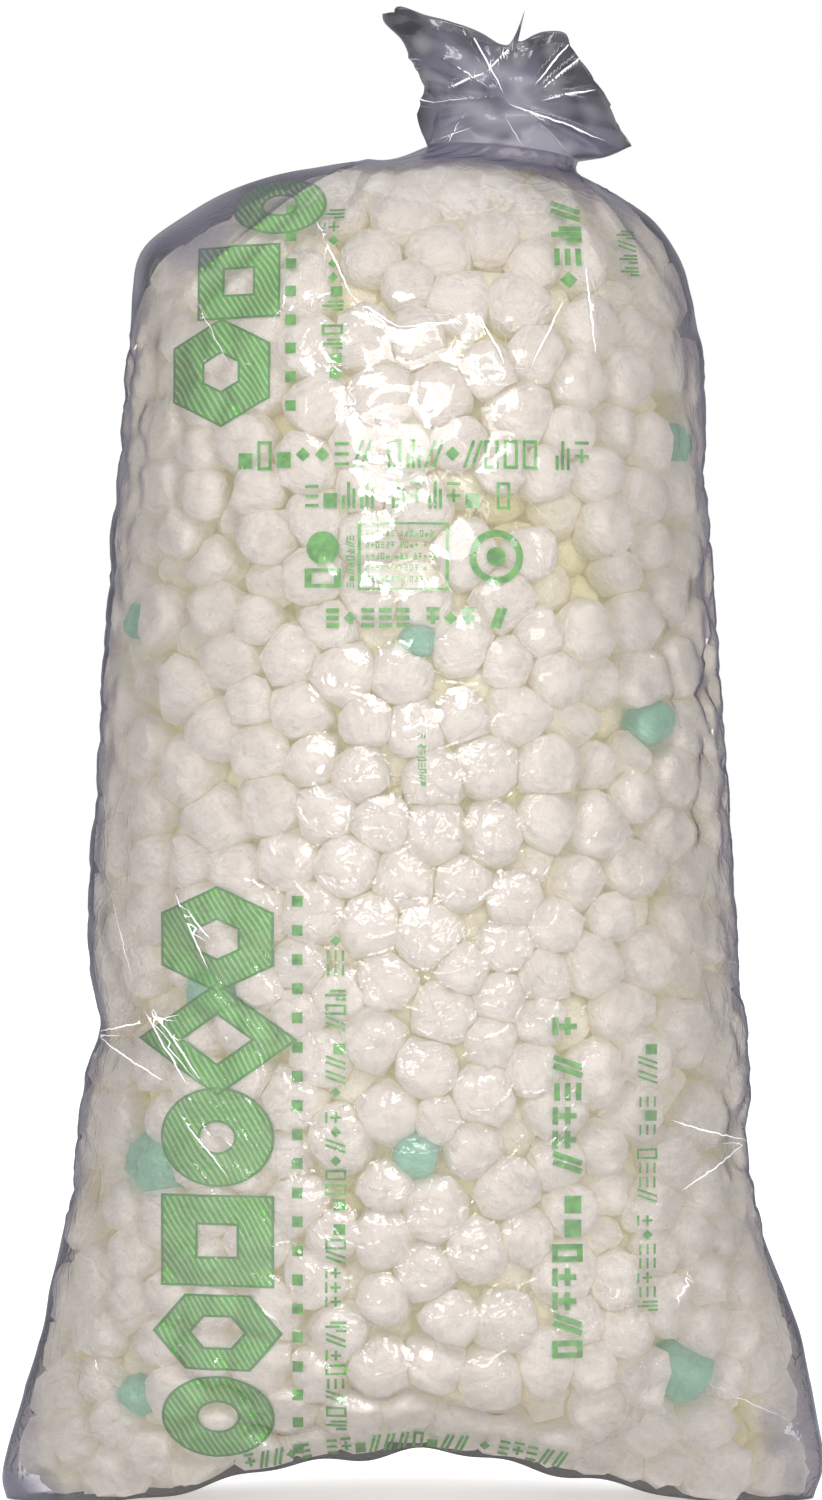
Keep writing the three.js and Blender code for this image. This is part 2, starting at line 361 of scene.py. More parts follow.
@dataclass
class NuggetHeap:
    """Every nugget in the bag, packed against each other and the film."""

    skin: Skin
    count: int = 2350
    radius: float = 0.0143
    radius_spread: float = 0.0027
    drawn_share: float = 1.33
    green_share: float = 0.74
    shoulder_slack: float = 0.009
    ear_slack: float = 0.003
    dent: float = 0.0018
    settle_steps: int = 160
    closeness: float = 0.93
    wall_share: float = 0.90
    film_gap: float = 0.0012
    neighbour_gap: float = -0.0009
    edge_softness: float = 11.0
    seat_share: float = 0.86
    hidden_greens: int = 9
    hidden_from: float = 0.06
    outer_to: float = 0.036
    seed: int = 7

    def wall(self) -> BVHTree:
        """The skin as a tree that answers how near the film is."""
        places = self.skin.places(0, self.skin.last, 0.009)
        around = 96
        grid = self.skin.rings(places, around)
        middle = grid.mean(axis=1, keepdims=True)
        out = unit((grid - middle) * (1, 1, 0))
        left = 1 - smooth_step(grid[..., :1], -0.13, -0.03)
        shoulder = smooth_step(grid[..., 2:], 0.60, 0.69) * self.shoulder_slack * (0.25 + 0.75 * left)
        ear = smooth_step(np.abs(grid[..., :1]), 0.15, 0.21) * (1 - smooth_step(grid[..., 2:], 0.02, 0.16))
        grid = grid - out * (shoulder + ear * self.ear_slack)
        grid[..., 2:] -= shoulder * 0.6
        rings = [self.base_ring(grid[0], share) for share in (0.02, 0.35, 0.7)] + list(grid)
        points = np.concatenate(rings)
        faces = ring_faces(len(rings), around)
        return BVHTree.FromPolygons([tuple(p) for p in points], faces)

    @staticmethod
    def base_ring(ring: Array, share: float) -> Array:
        """A ring of the base: its outline, drawn in towards the weld."""
        drawn = ring.copy()
        drawn[:, 1] *= share
        return drawn

    def depth_inside(self, tree: BVHTree, points: Array) -> tuple[Array, Array]:
        """How deep points lie inside the film, and the way out of it.

        Args:
            tree: the film's skin.
            points: the points asked about.

        Returns:
            Depths, negative outside, and unit vectors towards the film's outside.
        """
        depth = np.empty(len(points))
        outward = np.empty((len(points), 3))
        for i, point in enumerate(points):
            place, normal, _, _ = tree.find_nearest(Vector(point))
            outward[i] = normal
            depth[i] = (np.array(place) - point) @ np.array(normal)
        return depth, outward

    def seats(self) -> tuple[Array, Array, Array]:
        """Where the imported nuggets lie, how large they are, and which of them are green."""
        names = sorted(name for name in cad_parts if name.startswith("nugget_"))
        boxes = np.array([[tuple(corner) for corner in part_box(name)] for name in names])
        greens = np.array([name.startswith(NuggetKind.GREEN.value) for name in names])
        middles = boxes.mean(axis=1)
        shares = np.where(greens, self.green_share, self.seat_share)
        sizes = np.max(boxes[:, 1] - boxes[:, 0], axis=1) / 2 * shares
        return middles, sizes, greens

    @staticmethod
    def close_pairs(centres: Array, reach: float) -> tuple[Array, Array]:
        """The pairs of nuggets whose middles are nearer than a reach."""
        squares = (centres**2).sum(axis=1)
        apart = squares[:, None] + squares[None, :] - 2 * centres @ centres.T
        return np.nonzero(np.triu(apart < reach**2, 1))

    def settle(self) -> None:
        """Packs the nuggets: they push each other and the film until they lie still."""
        random = np.random.default_rng(self.seed)
        tree = self.wall()
        fixed, sizes, greens = self.seats()
        low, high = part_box("loose_fill")
        found = []
        while len(found) < self.count - len(fixed):
            tries = random.uniform(tuple(low), tuple(high), (400, 3))
            depth, _ = self.depth_inside(tree, tries)
            found.extend(tries[depth > self.radius * 0.5])
        centres = np.concatenate([fixed, found[: self.count - len(fixed)]])
        radii = self.radius + random.uniform(-1, 1, self.count) * self.radius_spread
        radii[: len(fixed)] = sizes
        free = np.arange(self.count) >= len(fixed)
        for step in range(self.settle_steps):
            if step % 8 == 0:
                first, second = self.close_pairs(centres, self.radius * 2.9)
            apart = centres[first] - centres[second]
            distance = np.maximum(np.linalg.norm(apart, axis=1), 1e-6)
            reach = (radii[first] + radii[second]) * self.closeness
            push = apart * (np.clip(reach - distance, 0, None) / distance * 0.34)[:, None]
            move = np.zeros_like(centres)
            np.add.at(move, first, push)
            np.add.at(move, second, -push)
            centres += np.clip(move, -0.006, 0.006) * free[:, None]
            depth, outward = self.depth_inside(tree, centres)
            short = np.clip(radii * self.wall_share + self.film_gap - depth, 0, None)
            centres -= outward * (short * free)[:, None]
        self.centres, self.radii, self.tree = centres, radii, tree
        self.depth, self.outward = self.depth_inside(tree, centres)
        self.green = np.zeros(self.count, bool)
        self.green[: len(fixed)] = greens
        inner = np.flatnonzero((self.depth > self.hidden_from) & free)
        self.green[random.choice(inner, self.hidden_greens, replace=False)] = True
        LOG.info("packed %d nuggets", self.count)

    def shape_tree(self, name: str, material: bpy.types.Material) -> bpy.types.NodeTree:
        """Geometry nodes that put a lumpy rounded pellet on each point of a mesh.

        Args:
            name: the tree's name.
            material: the pellets' finish.

        Returns:
            The tree, with named inputs for the pellets' proportions, lumps and seed.
        """
        maker = TreeMaker.geometry(name)
        cells = maker.input("Cells", "NodeSocketInt", 4)
        length = maker.input("Length Share", "NodeSocketFloat", 0.88)
        corner = maker.input("Corner Power", "NodeSocketFloat", 3.2)
        lumps = maker.input("Lump Height", "NodeSocketFloat", 0.0022)
        lump_size = maker.input("Lump Scale", "NodeSocketFloat", 62.0)
        seed = maker.input("Seed", "NodeSocketFloat", 3.0)
        side = maker.math("ADD", cells, 1)
        cube = maker.add("GeometryNodeMeshCube", {"Size": (2, 2, 2)})
        for socket in ("Vertices X", "Vertices Y", "Vertices Z"):
            maker.link(side, cube.inputs[socket])
        place = maker.add("GeometryNodeInputPosition").outputs[0]
        parts = maker.add("ShaderNodeSeparateXYZ", {"Vector": place}).outputs
        x, y, z = parts[0], parts[1], parts[2]
        widest = maker.math("MAXIMUM", maker.math("ABSOLUTE", x), maker.math("ABSOLUTE", y))
        flat = maker.math(
            "SQRT", maker.math("ADD", maker.math("MULTIPLY", x, x), maker.math("MULTIPLY", y, y))
        )
        round_share = maker.math("DIVIDE", widest, maker.math("MAXIMUM", flat, 0.0001))
        height = maker.math("ABSOLUTE", z)
        power_side = maker.math("POWER", widest, corner)
        power_height = maker.math("POWER", height, corner)
        blend = maker.math(
            "POWER", maker.math("ADD", power_side, power_height), maker.math("DIVIDE", 1.0, corner)
        )
        pull = maker.math(
            "DIVIDE", maker.math("MAXIMUM", widest, height), maker.math("MAXIMUM", blend, 0.0001)
        )
        wide = maker.math("MULTIPLY", round_share, pull)
        tall = maker.math("MULTIPLY", pull, length)
        shaped = maker.add(
            "ShaderNodeCombineXYZ",
            {
                "X": maker.math("MULTIPLY", x, wide),
                "Y": maker.math("MULTIPLY", y, wide),
                "Z": maker.math("MULTIPLY", z, tall),
            },
        ).outputs[0]
        pellet = maker.add(
            "GeometryNodeSetPosition", {"Geometry": cube.outputs["Mesh"], "Position": shaped}
        ).outputs[0]
        grain_place = maker.add("GeometryNodeInputPosition").outputs[0]
        grained = maker.add(
            "GeometryNodeStoreNamedAttribute",
            {"Geometry": pellet, "Name": "grain", "Value": grain_place},
            data_type="FLOAT_VECTOR",
        )
        turn = maker.add("GeometryNodeInputNamedAttribute", {"Name": "turn"}, data_type="FLOAT_VECTOR")
        turned = maker.add("FunctionNodeEulerToRotation", {0: turn.outputs["Attribute"]}).outputs[0]
        girth = maker.add("GeometryNodeInputNamedAttribute", {"Name": "girth"}, data_type="FLOAT")
        heap = maker.add(
            "GeometryNodeInstanceOnPoints",
            {
                "Points": maker.geometry_in,
                "Instance": grained.outputs[0],
                "Rotation": turned,
                "Scale": girth.outputs["Attribute"],
            },
        ).outputs[0]
        real = maker.add("GeometryNodeRealizeInstances", {"Geometry": heap}).outputs[0]
        noise = maker.add(
            "ShaderNodeTexNoise",
            {"Scale": lump_size, "Detail": 1.5, "W": seed},
            noise_dimensions="4D",
        )
        lift = maker.math("MULTIPLY", maker.math("SUBTRACT", noise.outputs[0], 0.5), lumps)
        lift = maker.math("MULTIPLY", lift, 2.0)
        normal = maker.add("GeometryNodeInputNormal").outputs[0]
        offset = maker.add("ShaderNodeVectorMath", {0: normal, "Scale": lift}, operation="SCALE")
        lumpy = maker.add(
            "GeometryNodeSetPosition", {"Geometry": real, "Offset": offset.outputs[0]}
        ).outputs[0]
        smooth = maker.add("GeometryNodeSetShadeSmooth", {"Geometry": lumpy}).outputs[0]
        finished = maker.add("GeometryNodeSetMaterial", {"Geometry": smooth, "Material": material})
        return maker.finish(finished.outputs[0])

    def pellets(
        self, name: str, chosen: Array, material: bpy.types.Material, cells: int
    ) -> bpy.types.Object:
        """The chosen nuggets as one mesh, each pressed against its neighbours.

        Args:
            name: the piece's name.
            chosen: the nuggets' numbers.
            material: their finish.
            cells: faces along each side of a pellet.

        Returns:
            The finished piece.
        """
        random = np.random.default_rng(self.seed + len(chosen))
        seeds = new_mesh(name + "_seeds", self.centres[chosen], [])
        mesh = seeds.data
        turns = mesh.attributes.new("turn", "FLOAT_VECTOR", "POINT")
        turns.data.foreach_set("vector", random.uniform(0, 2 * math.pi, (len(chosen), 3)).ravel())
        write_floats(mesh, "girth", self.radii[chosen] * self.drawn_share)
        write_floats(mesh, "tone", random.uniform(0, 1, len(chosen)))
        write_floats(mesh, "number", chosen)
        piece = grow(seeds, self.shape_tree(name + "_nodes", material), name, {"Cells": cells})
        self.press(piece.data)
        return piece

    def press(self, mesh: bpy.types.Mesh) -> None:
        """Flattens each nugget where it meets its neighbours and the film, up to the neighbour gap, which
        lets neighbours overlap when it is below zero.
        """
        points = points_of(mesh)
        owner = np.rint(read_floats(mesh, "number")).astype(int)
        apart = self.centres[None, :] - self.centres[:, None]
        distance = np.sqrt((apart**2).sum(-1))
        np.fill_diagonal(distance, 1)
        from_centre = points - self.centres[owner]
        length = np.linalg.norm(from_centre, axis=1)
        way = unit(from_centre)
        nearest = np.argsort(distance, axis=1)[:, :22]
        limit = np.full((len(points), 23), 1.0)
        for column in range(22):
            other = nearest[owner, column]
            gap = distance[owner, other]
            share = self.radii[owner] / (self.radii[owner] + self.radii[other])
            plane = gap * share - self.neighbour_gap
            cosine = np.einsum("ij,ij->i", way, apart[owner, other]) / gap
            facing = cosine > 0.05
            limit[facing, column] = plane[facing] / cosine[facing]
        cosine = np.einsum("ij,ij->i", way, self.outward[owner])
        facing = cosine > 0.05
        plane = self.depth[owner] - self.film_gap
        limit[facing, 22] = plane[facing] / cosine[facing]
        room = limit.min(axis=1)
        soft = self.edge_softness
        pressed = (length**-soft + room**-soft) ** (-1 / soft)
        pressed = np.minimum(pressed, room)
        broad = SoftNoise(self.seed + 1, 0.016, 40).at(points)
        fine = SoftNoise(self.seed + 2, 0.009, 40).at(points)
        lumps = broad + fine * 0.5
        pressed -= self.dent * np.clip(lumps * 0.6 + 0.3, 0, 1.2)
        points = self.centres[owner] + way * pressed[:, None]
        outer = self.depth[owner] < 0.035
        depth, outward = self.depth_inside(self.tree, points[outer])
        short = np.clip(self.film_gap - depth, 0, None)
        points[outer] -= outward * short[:, None]
        move_points(mesh, points)
        # How deep each point lies below the film, which the starch finish turns into painted shade.
        depth_now = np.full(len(points), 0.05)
        depth_now[outer] = depth
        write_floats(mesh, "depth", np.clip(depth_now, 0, 0.05))


# ---------------------------------------------------------------- node trees


class TreeMaker:
    """Adds and links nodes by short calls, in a material, a shader group or geometry nodes."""

    def __init__(self, tree: bpy.types.NodeTree) -> None:
        """Works on a tree."""
        self.tree = tree

    @classmethod
    def geometry(cls, name: str) -> "TreeMaker":
        """A new geometry tree with a geometry input and output."""
        tree = bpy.data.node_groups.new(name, "GeometryNodeTree")
        tree.interface.new_socket("Geometry", in_out="INPUT", socket_type="NodeSocketGeometry")
        tree.interface.new_socket("Geometry", in_out="OUTPUT", socket_type="NodeSocketGeometry")
        return cls.with_ends(tree)

    @classmethod
    def group(cls, name: str, outputs: dict[str, str]) -> "TreeMaker":
        """A new shader group with named outputs, each with its socket type."""
        tree = bpy.data.node_groups.new(name, "ShaderNodeTree")
        for output, kind in outputs.items():
            tree.interface.new_socket(output, in_out="OUTPUT", socket_type=kind)
        return cls.with_ends(tree)

    @classmethod
    def with_ends(cls, tree: bpy.types.NodeTree) -> "TreeMaker":
        """Gives a tree its input and output nodes."""
        maker = cls(tree)
        maker.start = tree.nodes.new("NodeGroupInput")
        maker.end = tree.nodes.new("NodeGroupOutput")
        return maker

    @classmethod
    def material(cls, name: str) -> tuple["TreeMaker", bpy.types.Material]:
        """A new material with only its output node."""
        material = bpy.data.materials.new(name)
        material.use_nodes = True
        material.node_tree.nodes.clear()
        maker = cls(material.node_tree)
        maker.end = maker.tree.nodes.new("ShaderNodeOutputMaterial")
        return maker, material

    @property
    def geometry_in(self) -> bpy.types.NodeSocket:
        """The geometry that comes in."""
        return self.start.outputs[0]

    def input(self, name: str, kind: str, value: float) -> bpy.types.NodeSocket:
        """A named input of the tree, with its usual value."""
        item = self.tree.interface.new_socket(name, in_out="INPUT", socket_type=kind)
        item.default_value = value
        return self.start.outputs[name]

    def add(self, kind: str, inputs: dict | None = None, **options: object) -> bpy.types.Node:
        """A new node.

        Args:
            kind: the node's type.
            inputs: for each input's name or number, a value or the socket that feeds it.
            options: the node's own settings, which are set first.

        Returns:
            The node.
        """
        node = self.tree.nodes.new(kind)
        for key, value in options.items():
            setattr(node, key, value)
        for key, value in (inputs or {}).items():
            self.feed(value, node.inputs[key])
        return node

    def feed(self, value: object, socket: bpy.types.NodeSocket) -> None:
        """Sets an input, or links it if the value is a socket."""
        if isinstance(value, bpy.types.NodeSocket):
            self.link(value, socket)
        else:
            socket.default_value = value

    def link(self, source: bpy.types.NodeSocket, target: bpy.types.NodeSocket) -> None:
        """Joins two sockets."""
        self.tree.links.new(source, target)

    def math(self, operation: str, *values: object) -> bpy.types.NodeSocket:
        """The result of a sum on sockets or numbers."""
        node = self.tree.nodes.new("ShaderNodeMath")
        node.operation = operation
        for socket, value in zip(node.inputs, values):
            self.feed(value, socket)
        return node.outputs[0]

    def blend(self, share: object, first: object, second: object) -> bpy.types.NodeSocket:
        """A colour between two colours."""
        node = self.tree.nodes.new("ShaderNodeMix")
        node.data_type = "RGBA"
        for key, value in ((0, share), (6, first), (7, second)):
            self.feed(value, node.inputs[key])
        return node.outputs[2]

    def ramp(self, value: object, low: float, high: float, at_low: float, at_high: float) -> object:
        """A number carried from one range to another, and held at its ends."""
        node = self.add("ShaderNodeMapRange", {"Value": value})
        for key, number in zip(("From Min", "From Max", "To Min", "To Max"), (low, high, at_low, at_high)):
            node.inputs[key].default_value = number
        return node.outputs[0]

    def attribute(self, name: str) -> bpy.types.Node:
        """The node that reads one of the mesh's attributes."""
        node = self.tree.nodes.new("ShaderNodeAttribute")
        node.attribute_name = name
        return node

    def place_group(self, group: bpy.types.NodeTree, inputs: dict) -> bpy.types.Node:
        """A shader group, placed with its own values."""
        node = self.tree.nodes.new("ShaderNodeGroup")
        node.node_tree = group
        for key, value in inputs.items():
            self.feed(value, node.inputs[key])
        return node

    def finish(self, result: bpy.types.NodeSocket) -> bpy.types.NodeTree:
        """Links the result to the tree's first output."""
        self.link(result, self.end.inputs[0])
        return self.tree


def grow(
    seeds: bpy.types.Object, tree: bpy.types.NodeTree, name: str, inputs: dict[str, float]
) -> bpy.types.Object:
    """Runs geometry nodes on an object and keeps the result as a plain mesh.

    Args:
        seeds: the object that the nodes start from, which is used up.
        tree: the geometry nodes.
        name: the new piece's name.
        inputs: values for the tree's named inputs.

    Returns:
        The new piece.
    """
    modifier = seeds.modifiers.new("nodes", "NODES")
    modifier.node_group = tree
    for item in tree.interface.items_tree:
        if item.item_type == "SOCKET" and item.in_out == "INPUT" and item.name in inputs:
            modifier[item.identifier] = inputs[item.name]
    bpy.context.view_layer.update()
    graph = bpy.context.evaluated_depsgraph_get()
    mesh = bpy.data.meshes.new_from_object(seeds.evaluated_get(graph))
    mesh.name = name
    bpy.data.objects.remove(seeds)
    piece = bpy.data.objects.new(name, mesh)
    bpy.context.scene.collection.objects.link(piece)
    return piece


# ---------------------------------------------------------------- finishes


class Effects:
    """Shader groups that more than one finish uses, each built once."""

    _built: dict[str, bpy.types.NodeTree] = {}

    @classmethod
    def fibres(cls) -> bpy.types.NodeTree:
        """The drawn, fibrous skin of puffed starch: a height and a mask of its fine lines."""
        if "fibres" not in cls._built:
            maker = TreeMaker.group(
                "starch_fibres", {"Height": "NodeSocketFloat", "Lines": "NodeSocketFloat"}
            )
            scale = maker.input("Scale", "NodeSocketFloat", 5.0)
            stretch = maker.input("Stretch", "NodeSocketFloat", 0.18)
            grain = maker.attribute("grain").outputs["Vector"]
            shift = maker.attribute("tone").outputs["Fac"]
            parts = maker.add("ShaderNodeSeparateXYZ", {0: grain}).outputs
            moved = maker.add(
                "ShaderNodeCombineXYZ",
                {
                    0: maker.math("MULTIPLY_ADD", shift, 37.0, parts[0]),
                    1: parts[1],
                    2: maker.math("MULTIPLY", parts[2], stretch),
                },
            ).outputs[0]
            lines = maker.add(
                "ShaderNodeTexNoise", {"Vector": moved, "Scale": scale, "Detail": 4.0, "Roughness": 0.6}
            ).outputs[0]
            pores = maker.add(
                "ShaderNodeTexNoise",
                {"Vector": maker.add("ShaderNodeTexCoord").outputs["Object"], "Scale": 900.0, "Detail": 2.0},
            ).outputs[0]
            lumps = maker.add(
                "ShaderNodeTexNoise",
                {"Vector": maker.add("ShaderNodeTexCoord").outputs["Object"], "Scale": 170.0, "Detail": 3.0},
            ).outputs[0]
            height = maker.math("MULTIPLY_ADD", lumps, 1.6, maker.math("MULTIPLY_ADD", pores, 0.25, lines))
            maker.link(height, maker.end.inputs["Height"])
            maker.link(maker.ramp(lines, 0.42, 0.62, 0.0, 1.0), maker.end.inputs["Lines"])
            cls._built["fibres"] = maker.tree
        return cls._built["fibres"]

    @classmethod
    def crinkle(cls) -> bpy.types.NodeTree:
        """The fine crinkles of thin film, as a height."""
        if "crinkle" not in cls._built:
            maker = TreeMaker.group("film_crinkle", {"Height": "NodeSocketFloat"})
            fine = maker.input("Fine Scale", "NodeSocketFloat", 160.0)
            share = maker.input("Fine Share", "NodeSocketFloat", 0.35)
            place = maker.add("ShaderNodeTexCoord").outputs["Object"]
            wide = maker.add(
                "ShaderNodeTexNoise", {"Vector": place, "Scale": 38.0, "Detail": 2.0, "Distortion": 0.6}
            ).outputs[0]
            small = maker.add(
                "ShaderNodeTexNoise", {"Vector": place, "Scale": fine, "Detail": 2.0, "Distortion": 1.2}
            ).outputs[0]
            bent = maker.add("ShaderNodeTexNoise", {"Vector": place, "Scale": 26.0, "Detail": 2.0})
            moved = maker.add(
                "ShaderNodeVectorMath",
                {0: bent.outputs["Color"], 1: (0.05, 0.05, 0.05), 2: place},
                operation="MULTIPLY_ADD",
            ).outputs[0]
            cracks = maker.add(
                "ShaderNodeTexVoronoi",
                {"Vector": moved, "Scale": 55.0},
                feature="DISTANCE_TO_EDGE",
            ).outputs["Distance"]
            ridges = maker.ramp(cracks, 0.0, 0.10, 0.22, 0.0)
            height = maker.math("ADD", maker.math("MULTIPLY_ADD", small, share, wide), ridges)
            maker.link(height, maker.end.inputs["Height"])
            cls._built["crinkle"] = maker.tree
        return cls._built["crinkle"]


@dataclass(frozen=True)
class StarchFinish:
    """Puffed starch: matt and fibrous, with painted shade that turns it darker and yellower deeper below the
    film, and a painted glow.
    """

    name: str
    pale: tuple[float, float, float, float]
    shaded: tuple[float, float, float, float]
    gap_shade: tuple[float, float, float, float]
    roughness: float = 0.85
    bump_depth: float = 0.0027
    painted_glow: float = 0.23

    def build(self) -> bpy.types.Material:
        """Makes the material."""
        maker, material = TreeMaker.material(self.name)
        fibres = maker.place_group(Effects.fibres(), {"Scale": 5.0, "Stretch": 0.18})
        tone = maker.attribute("tone").outputs["Fac"]
        lines = maker.math("MULTIPLY", fibres.outputs["Lines"], 0.55)
        share = maker.math("MULTIPLY_ADD", tone, 0.45, lines)
        colour = maker.blend(share, self.pale, self.shaded)
        # Painted shade: the colour turns darker and yellower where a surface lies deeper below the film, in
        # the gaps and on the hidden nuggets.
        depth = maker.ramp(maker.attribute("depth").outputs["Fac"], 0.004, 0.026, 0.0, 1.0)
        colour = maker.blend(depth, colour, self.gap_shade)
        bump = maker.add(
            "ShaderNodeBump",
            {"Strength": 0.8, "Distance": self.bump_depth, "Height": fibres.outputs["Height"]},
        ).outputs[0]
        starch = maker.add(
            "ShaderNodeBsdfPrincipled",
            {
                "Base Color": colour,
                "Roughness": self.roughness,
                "Normal": bump,
                "Subsurface Weight": 0.5,
                "Subsurface Radius": (1.0, 0.85, 0.6),
                "Subsurface Scale": 0.008,
                "Sheen Weight": 0.15,
                # Painted glow: the starch gives off light in its own colour, which lifts the shaded gaps
                # between the nuggets.
                "Emission Color": colour,
                "Emission Strength": self.painted_glow,
            },
        )
        maker.link(starch.outputs[0], maker.end.inputs[0])
        material.cycles.emission_sampling = "NONE"
        return material


@dataclass(frozen=True)
class FilmFinish:
    """Clear thin film: it mirrors like plastic, and where it turns away or lies in folds it has a grey-violet
    veil, partly the haze of stacked film and partly painted shade.
    """

    name: str
    flat_tint: tuple[float, float, float, float] = (0.965, 0.955, 0.955, 1)
    edge_shade_tint: tuple[float, float, float, float] = (0.42, 0.40, 0.46, 1)
    veil_shade_colour: tuple[float, float, float, float] = (0.180, 0.168, 0.235, 1)
    shade_colour: tuple[float, float, float, float] = (0.040, 0.042, 0.052, 1)
    glint_line_colour: tuple[float, float, float, float] = (0.94, 0.94, 0.96, 1)
    haze_colour: tuple[float, float, float, float] = (0.84, 0.81, 0.76, 1)
    veil: float = 0.055
    edge_shade_veil: float = 0.75
    fold_veil: float = 0.80
    shine: float = 0.06
    mirror_ior: float = 1.66
    bump_depth: float = 0.0016
    glint_depth: float = 0.0030

    def build(self) -> bpy.types.Material:
        """Makes the material."""
        maker, material = TreeMaker.material(self.name)
        crinkle = maker.place_group(Effects.crinkle(), {"Fine Scale": 160.0, "Fine Share": 0.35})
        crinkled = maker.attribute("crinkled").outputs["Fac"]
        # Painted glints: near-white lines along the sharp creases, partly stress-whitened film; they also
        # raise the crease a little.
        glint_line = self.crease_glint_lines(maker)
        half_creased = maker.math("MULTIPLY", glint_line, 0.5)
        height = maker.math("MULTIPLY_ADD", crinkle.outputs[0], crinkled, half_creased)
        bump = maker.add(
            "ShaderNodeBump",
            {"Strength": 0.5, "Distance": self.bump_depth, "Height": height},
        ).outputs[0]
        folds = maker.attribute("folds").outputs["Fac"]
        shade = maker.attribute("shade").outputs["Fac"]
        facing = maker.add("ShaderNodeLayerWeight", {"Blend": 0.5, "Normal": bump}).outputs["Facing"]
        # Painted shade: where the film turns away, what shows through it is tinted dark grey-violet and a
        # dark veil covers it.
        turned = maker.ramp(facing, 0.50, 0.96, 0.0, 1.0)
        tint = maker.blend(turned, self.flat_tint, self.edge_shade_tint)
        clear = maker.add("ShaderNodeBsdfTransparent", {0: tint}).outputs[0]
        edge = maker.math("MULTIPLY", maker.math("POWER", turned, 1.6), self.edge_shade_veil)
        thick = maker.math("MULTIPLY_ADD", folds, self.fold_veil, self.veil)
        grey = maker.ramp(maker.math("ADD", thick, edge), self.veil, self.veil + 0.15, 0.0, 1.0)
        # Painted shade: the veil is the film's warm haze where it is thin, and a dark grey-violet where the
        # film is folded, slack or turned away, darker still where the shade attribute is high.
        veil_shade_colour = maker.blend(shade, self.veil_shade_colour, self.shade_colour)
        veil_shade_colour = maker.blend(grey, self.haze_colour, veil_shade_colour)
        # Milky patches and the painted glint lines turn the veil towards near white.
        milky = maker.math("MULTIPLY", maker.attribute("milky").outputs["Fac"], 0.15)
        veil_shade_colour = maker.blend(maker.math("MAXIMUM", milky, glint_line), veil_shade_colour, self.glint_line_colour)
        veil = maker.add(
            "ShaderNodeBsdfPrincipled",
            {"Base Color": veil_shade_colour, "Roughness": 0.3, "Specular IOR Level": 0.2, "Normal": bump},
        ).outputs[0]
        thick = maker.math("MULTIPLY_ADD", glint_line, 0.75, thick)
        cover = maker.math("MINIMUM", maker.math("ADD", thick, edge), 0.95)
        inner = maker.add("ShaderNodeMixShader", {0: cover, 1: clear, 2: veil}).outputs[0]
        # Painted shade in the reflection: the mirror darkens to grey at grazing angles and in folds, as if a
        # dark room were mirrored there.
        gloss = maker.blend(maker.ramp(facing, 0.10, 0.75, 0.0, 1.0), (1, 1, 1, 1), (0.10, 0.10, 0.12, 1))
        gloss = maker.blend(maker.math("MULTIPLY", folds, 0.9), gloss, (0.22, 0.22, 0.24, 1))
        sharper = maker.math("MULTIPLY", maker.math("MULTIPLY", crinkled, crinkled), self.glint_depth)
        glints = maker.add(
            "ShaderNodeBump",
            {"Strength": 0.8, "Distance": sharper, "Height": crinkle.outputs[0], "Normal": bump},
        ).outputs[0]
        mirror = maker.add(
            "ShaderNodeBsdfAnisotropic", {"Color": gloss, "Roughness": self.shine, "Normal": glints}
        ).outputs[0]
        fresnel = maker.add("ShaderNodeFresnel", {"IOR": self.mirror_ior, "Normal": bump}).outputs[0]
        surface = maker.add("ShaderNodeMixShader", {0: fresnel, 1: inner, 2: mirror}).outputs[0]
        maker.link(surface, maker.end.inputs[0])
        return material

    @staticmethod
    def crease_glint_lines(maker: TreeMaker) -> bpy.types.NodeSocket:
        """1 on the fine whitened lines of sharp creases, partly stress-whitened film and partly painted
        glints, which taper to their ends.
        """
        place = maker.add("ShaderNodeTexCoord").outputs["Object"]
        noise = maker.add("ShaderNodeTexNoise", {"Vector": place, "Scale": 120.0, "Detail": 2.0}).outputs[0]
        offset = maker.attribute("glint_line_offset").outputs["Fac"]
        width = maker.attribute("glint_line_width").outputs["Fac"]
        bent = maker.math("MULTIPLY_ADD", maker.math("SUBTRACT", noise, 0.5), 0.0022, offset)
        inside = maker.math("SUBTRACT", width, maker.math("ABSOLUTE", bent))
        return maker.ramp(inside, 0.0, 0.00020, 0.0, 1.0)


